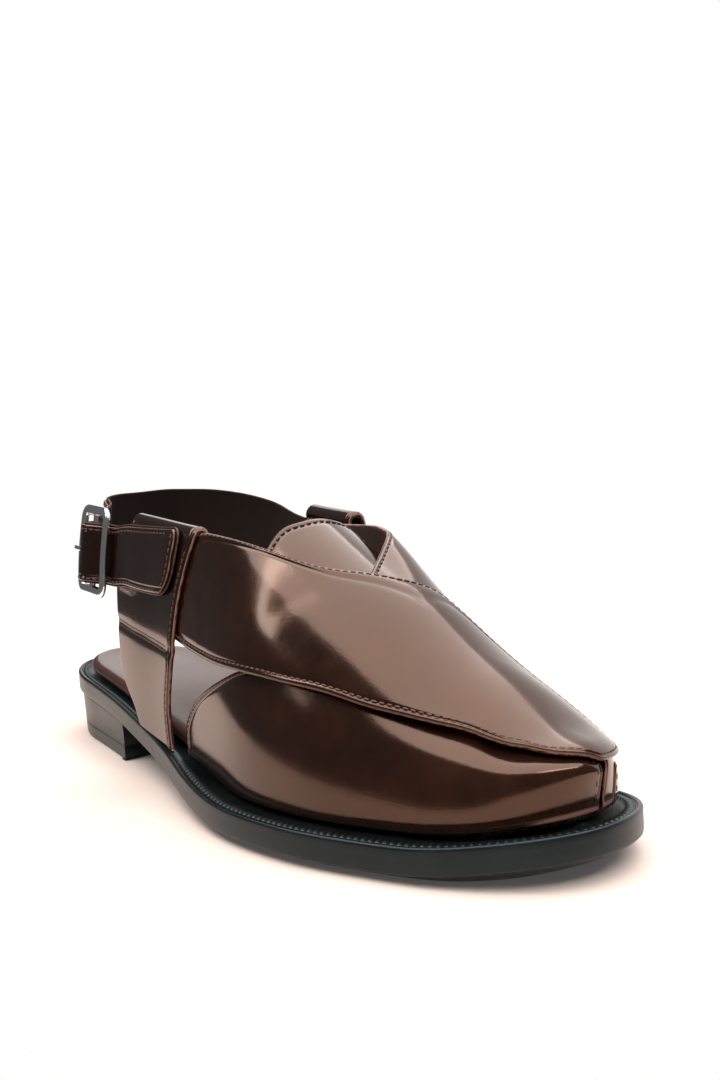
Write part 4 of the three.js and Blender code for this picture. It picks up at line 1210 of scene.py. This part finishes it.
def rubber(name, colour, rough):
    """Moulded black rubber: satin, with a very fine grain and slightly paler rubbed patches."""
    f = Finish(name)
    clouds = f.noise(30.0, 3.0, 0.6)
    grain = f.noise(2600.0, 2.0, 0.6)
    pale = tuple(min(1.0, c * 1.9 + 0.004) for c in colour[:3]) + (1.0,)
    f.set(Base_Color=f.blend(clouds.between(0.35, 0.75), colour, pale),
          Roughness=rough + clouds * 0.14 - 0.05, IOR=1.42, Specular_Tint=rgb(206, 232, 240),
          Normal=f.bump(grain, 0.00005))
    return f.material


def steel(name):
    """Bright plated steel with faint haze."""
    f = Finish(name)
    haze = f.noise(220.0, 3.0, 0.6)
    f.set(Base_Color=f.blend(haze, rgb(246, 247, 250), rgb(226, 226, 230)), Metallic=1.0,
          Roughness=0.12 + haze * 0.08, Normal=f.bump(haze, 0.00002))
    return f.material


def thread(name, colour):
    """Waxed thread: brown, with the twist of its plies."""
    f = Finish(name)
    twist = f.noise(2400.0, 2.0, 0.5)
    f.set(Base_Color=f.blend(twist, colour, tuple(c * 0.45 for c in colour[:3]) + (1.0,)),
          Roughness=0.55 + twist * 0.15, Normal=f.bump(twist, 0.0001))
    return f.material


UPPER_LEATHER = leather("upper leather", rgb(22, 10, 7), rgb(68, 40, 25), rgb(150, 108, 92),
                        rgb(22, 18, 17))
STRAP_LEATHER = leather("strap leather", rgb(22, 12, 10), rgb(44, 24, 18), rgb(140, 100, 86),
                        rgb(20, 18, 18), warmth=0.35)
LINING_LEATHER = leather("lining leather", rgb(20, 17, 16), rgb(30, 27, 26), rgb(96, 66, 52),
                         rgb(13, 12, 13), warmth=0.3, haze=0.4, index=1.35)
PAD_LEATHER = leather("insole leather", rgb(52, 30, 24), rgb(92, 60, 50), rgb(80, 50, 42),
                      rgb(22, 18, 17), warmth=0.5, haze=0.24, index=1.33)
SOLE_RUBBER = rubber("sole rubber", rgb(8, 10, 10), 0.33)
HEEL_RUBBER = rubber("heel rubber", rgb(14, 16, 17), 0.34)
PLATED_STEEL = steel("plated steel")
THREAD = thread("thread", rgb(92, 58, 44))

# %% [markdown]
# ## Dressing the frame
# Each piece rides on the one body, takes its finish, and says which solids it stands for, and those solids
# are hidden. The upper's solid is one wall, so its first strap stands for the whole of it.

# %% Dress the pieces
DRESS = [
    (strap_over, UPPER_LEATHER, "upper_leather", ["upper"]),
    (strap_under, UPPER_LEATHER, "upper_leather", []),
    (wing_lateral, UPPER_LEATHER, "upper_leather", []),
    (wing_medial, UPPER_LEATHER, "upper_leather", []),
    (toe_end, UPPER_LEATHER, "upper_leather", []),
    (tongue, UPPER_LEATHER, "tongue_leather", ["tongue"]),
    (stay_lateral, STRAP_LEATHER, "stay_leather", ["stay_lateral"]),
    (stay_medial, STRAP_LEATHER, "stay_leather", ["stay_medial"]),
    (strap_facing, STRAP_LEATHER, "strap_leather", ["heel_strap"]),
    (strap_lining, LINING_LEATHER, "strap_leather", []),
    (chape, STRAP_LEATHER, "strap_leather", ["buckle_chape"]),
    (buckle_frame, PLATED_STEEL, "buckle_metal", ["buckle_frame"]),
    (buckle_prong, PLATED_STEEL, "buckle_metal", ["buckle_prong"]),
    (outsole, SOLE_RUBBER, "sole_rubber", ["outsole"]),
    (heel, HEEL_RUBBER, "heel_rubber", ["heel"]),
    (insole, PAD_LEATHER, "insole_leather", ["insole"]),
    (seams, THREAD, "upper_leather", []),
]
for piece, finish, slot, nodes in DRESS:
    piece.data.materials.append(finish)
    if nodes:
        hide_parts(*nodes)

# %% [markdown]
# ## Floor, light and camera
# Polished leather is a mirror, so its reflections in the photograph tell of the room: a pale
# floor, one broad soft light above, a bright strip in front and one on the left, a pale
# backdrop on the inner side and darkness elsewhere. These few plain surfaces draw all the
# light and dark shapes. Each light is given by how bright its face is, because that is what
# the leather mirrors. A single soft light would leave the straps without their bands.

# %% Floor
floor_mesh = bpy.data.meshes.new("floor")
FLOOR = [(-0.16, -0.33), (0.75, -0.33), (0.75, 0.32), (-0.16, 0.32)]
floor_mesh.from_pydata([(x, y, 0) for x, y in FLOOR], [], [(0, 1, 2, 3)])
floor = bpy.data.objects.new("floor", floor_mesh)
bpy.context.scene.collection.objects.link(floor)
paper = Finish("pale floor")
paper.set(Base_Color=(0.62, 0.5, 0.44, 1), Roughness=0.8, IOR=1.3, Emission_Color=(1, 1, 1, 1),
          Emission_Strength=0.06)
floor_mesh.materials.append(paper.material)


# %% Lights
def stood(x, y, z, at):
    """Matrix of an object whose own axes point along x, y and z, at a place in metres."""
    return Matrix([[x[i], y[i], z[i], at[i]] for i in range(3)] + [[0, 0, 0, 1]])


def soft_light(name, at, aim, size, glow):
    """Rectangular light at a place, turned to a point, sizes in metres.
    Its power is the glow of its face times its area times pi."""
    lamp = bpy.data.lights.new(name, "AREA")
    lamp.shape = "RECTANGLE"
    lamp.size, lamp.size_y = size
    lamp.energy = glow * math.pi * size[0] * size[1]
    obj = bpy.data.objects.new(name, lamp)
    obj.visible_camera = False
    bpy.context.scene.collection.objects.link(obj)
    z = unit(np.array(at, float) - np.array(aim, float))
    x = unit(np.cross([0, 0, 1], z) + np.array([1e-6, 0, 0]))
    y = np.cross(z, x)
    obj.matrix_world = stood(x, y, z, at)


def towards(azimuth, distance, height):
    """Place at an azimuth, 0 in front of the toe and 90 on the medial side."""
    a = math.radians(azimuth)
    return (distance * math.sin(a), -distance * math.cos(a), height)


soft_light("ceiling light", (0.0, -0.2, 1.3), (0.0, -0.2, 0.0), (2.4, 2.4), 4.0)
soft_light("backdrop light", towards(110, 1.3, 0.8), (0, 0, 0.8), (3.0, 1.6), 1.15)
soft_light("front strip", (-0.15, -1.42, 1.28), (0, -0.15, 0.05), (1.9, 0.22), 9.0)
soft_light("left strip", towards(-115, 1.15, 1.2), (0, -0.1, 0.08), (0.16, 1.2), 8.0)

# %% A room that is white to the camera and dark to the leather
world = bpy.data.worlds.new("studio")
bpy.context.scene.world = world
world.use_nodes = True
sky = world.node_tree
dark_room = sky.nodes["Background"]
seen_room = sky.nodes.new("ShaderNodeBackground")
for room, strength in ((dark_room, 0.12), (seen_room, 1.0)):
    room.inputs["Color"].default_value = (1, 1, 1, 1)
    room.inputs["Strength"].default_value = strength
rays = sky.nodes.new("ShaderNodeLightPath")
pick = sky.nodes.new("ShaderNodeMixShader")
sky.links.new(rays.outputs["Is Camera Ray"], pick.inputs[0])
sky.links.new(dark_room.outputs[0], pick.inputs[1])
sky.links.new(seen_room.outputs[0], pick.inputs[2])
sky.links.new(pick.outputs[0], sky.nodes["World Output"].inputs["Surface"])
bpy.context.scene.view_settings.view_transform = "Standard"

# %% [markdown]
# The camera's angles, place and focal length were fitted to the sole's outline in the
# photograph, as a plain pinhole. Set by eye, the straps would sit several pixels off.

# %% Camera
PHOTO_ANGLES = (-36.58, 6.10, -2.81)
PHOTO_PLACE = np.array([-265.0, -512.1, 138.85])
FOCAL_PIXELS, PHOTO_HEIGHT = 1341.4, 1080
SENSOR = 36
camera = bpy.data.objects.new("camera", bpy.data.cameras.new("camera"))
bpy.context.scene.collection.objects.link(camera)
bpy.context.scene.camera = camera
azimuth, elevation, roll = (math.radians(a) for a in PHOTO_ANGLES)
level = math.cos(elevation)
back = np.array([math.sin(azimuth) * level, -math.cos(azimuth) * level, math.sin(elevation)])
right = np.array([math.cos(azimuth), math.sin(azimuth), 0.0])
up = np.cross(back, right)
camera.matrix_world = stood(right * math.cos(roll) + up * math.sin(roll),
                            up * math.cos(roll) - right * math.sin(roll), back, PHOTO_PLACE * MM)
camera.data.sensor_width = SENSOR
camera.data.lens = FOCAL_PIXELS / PHOTO_HEIGHT * SENSOR
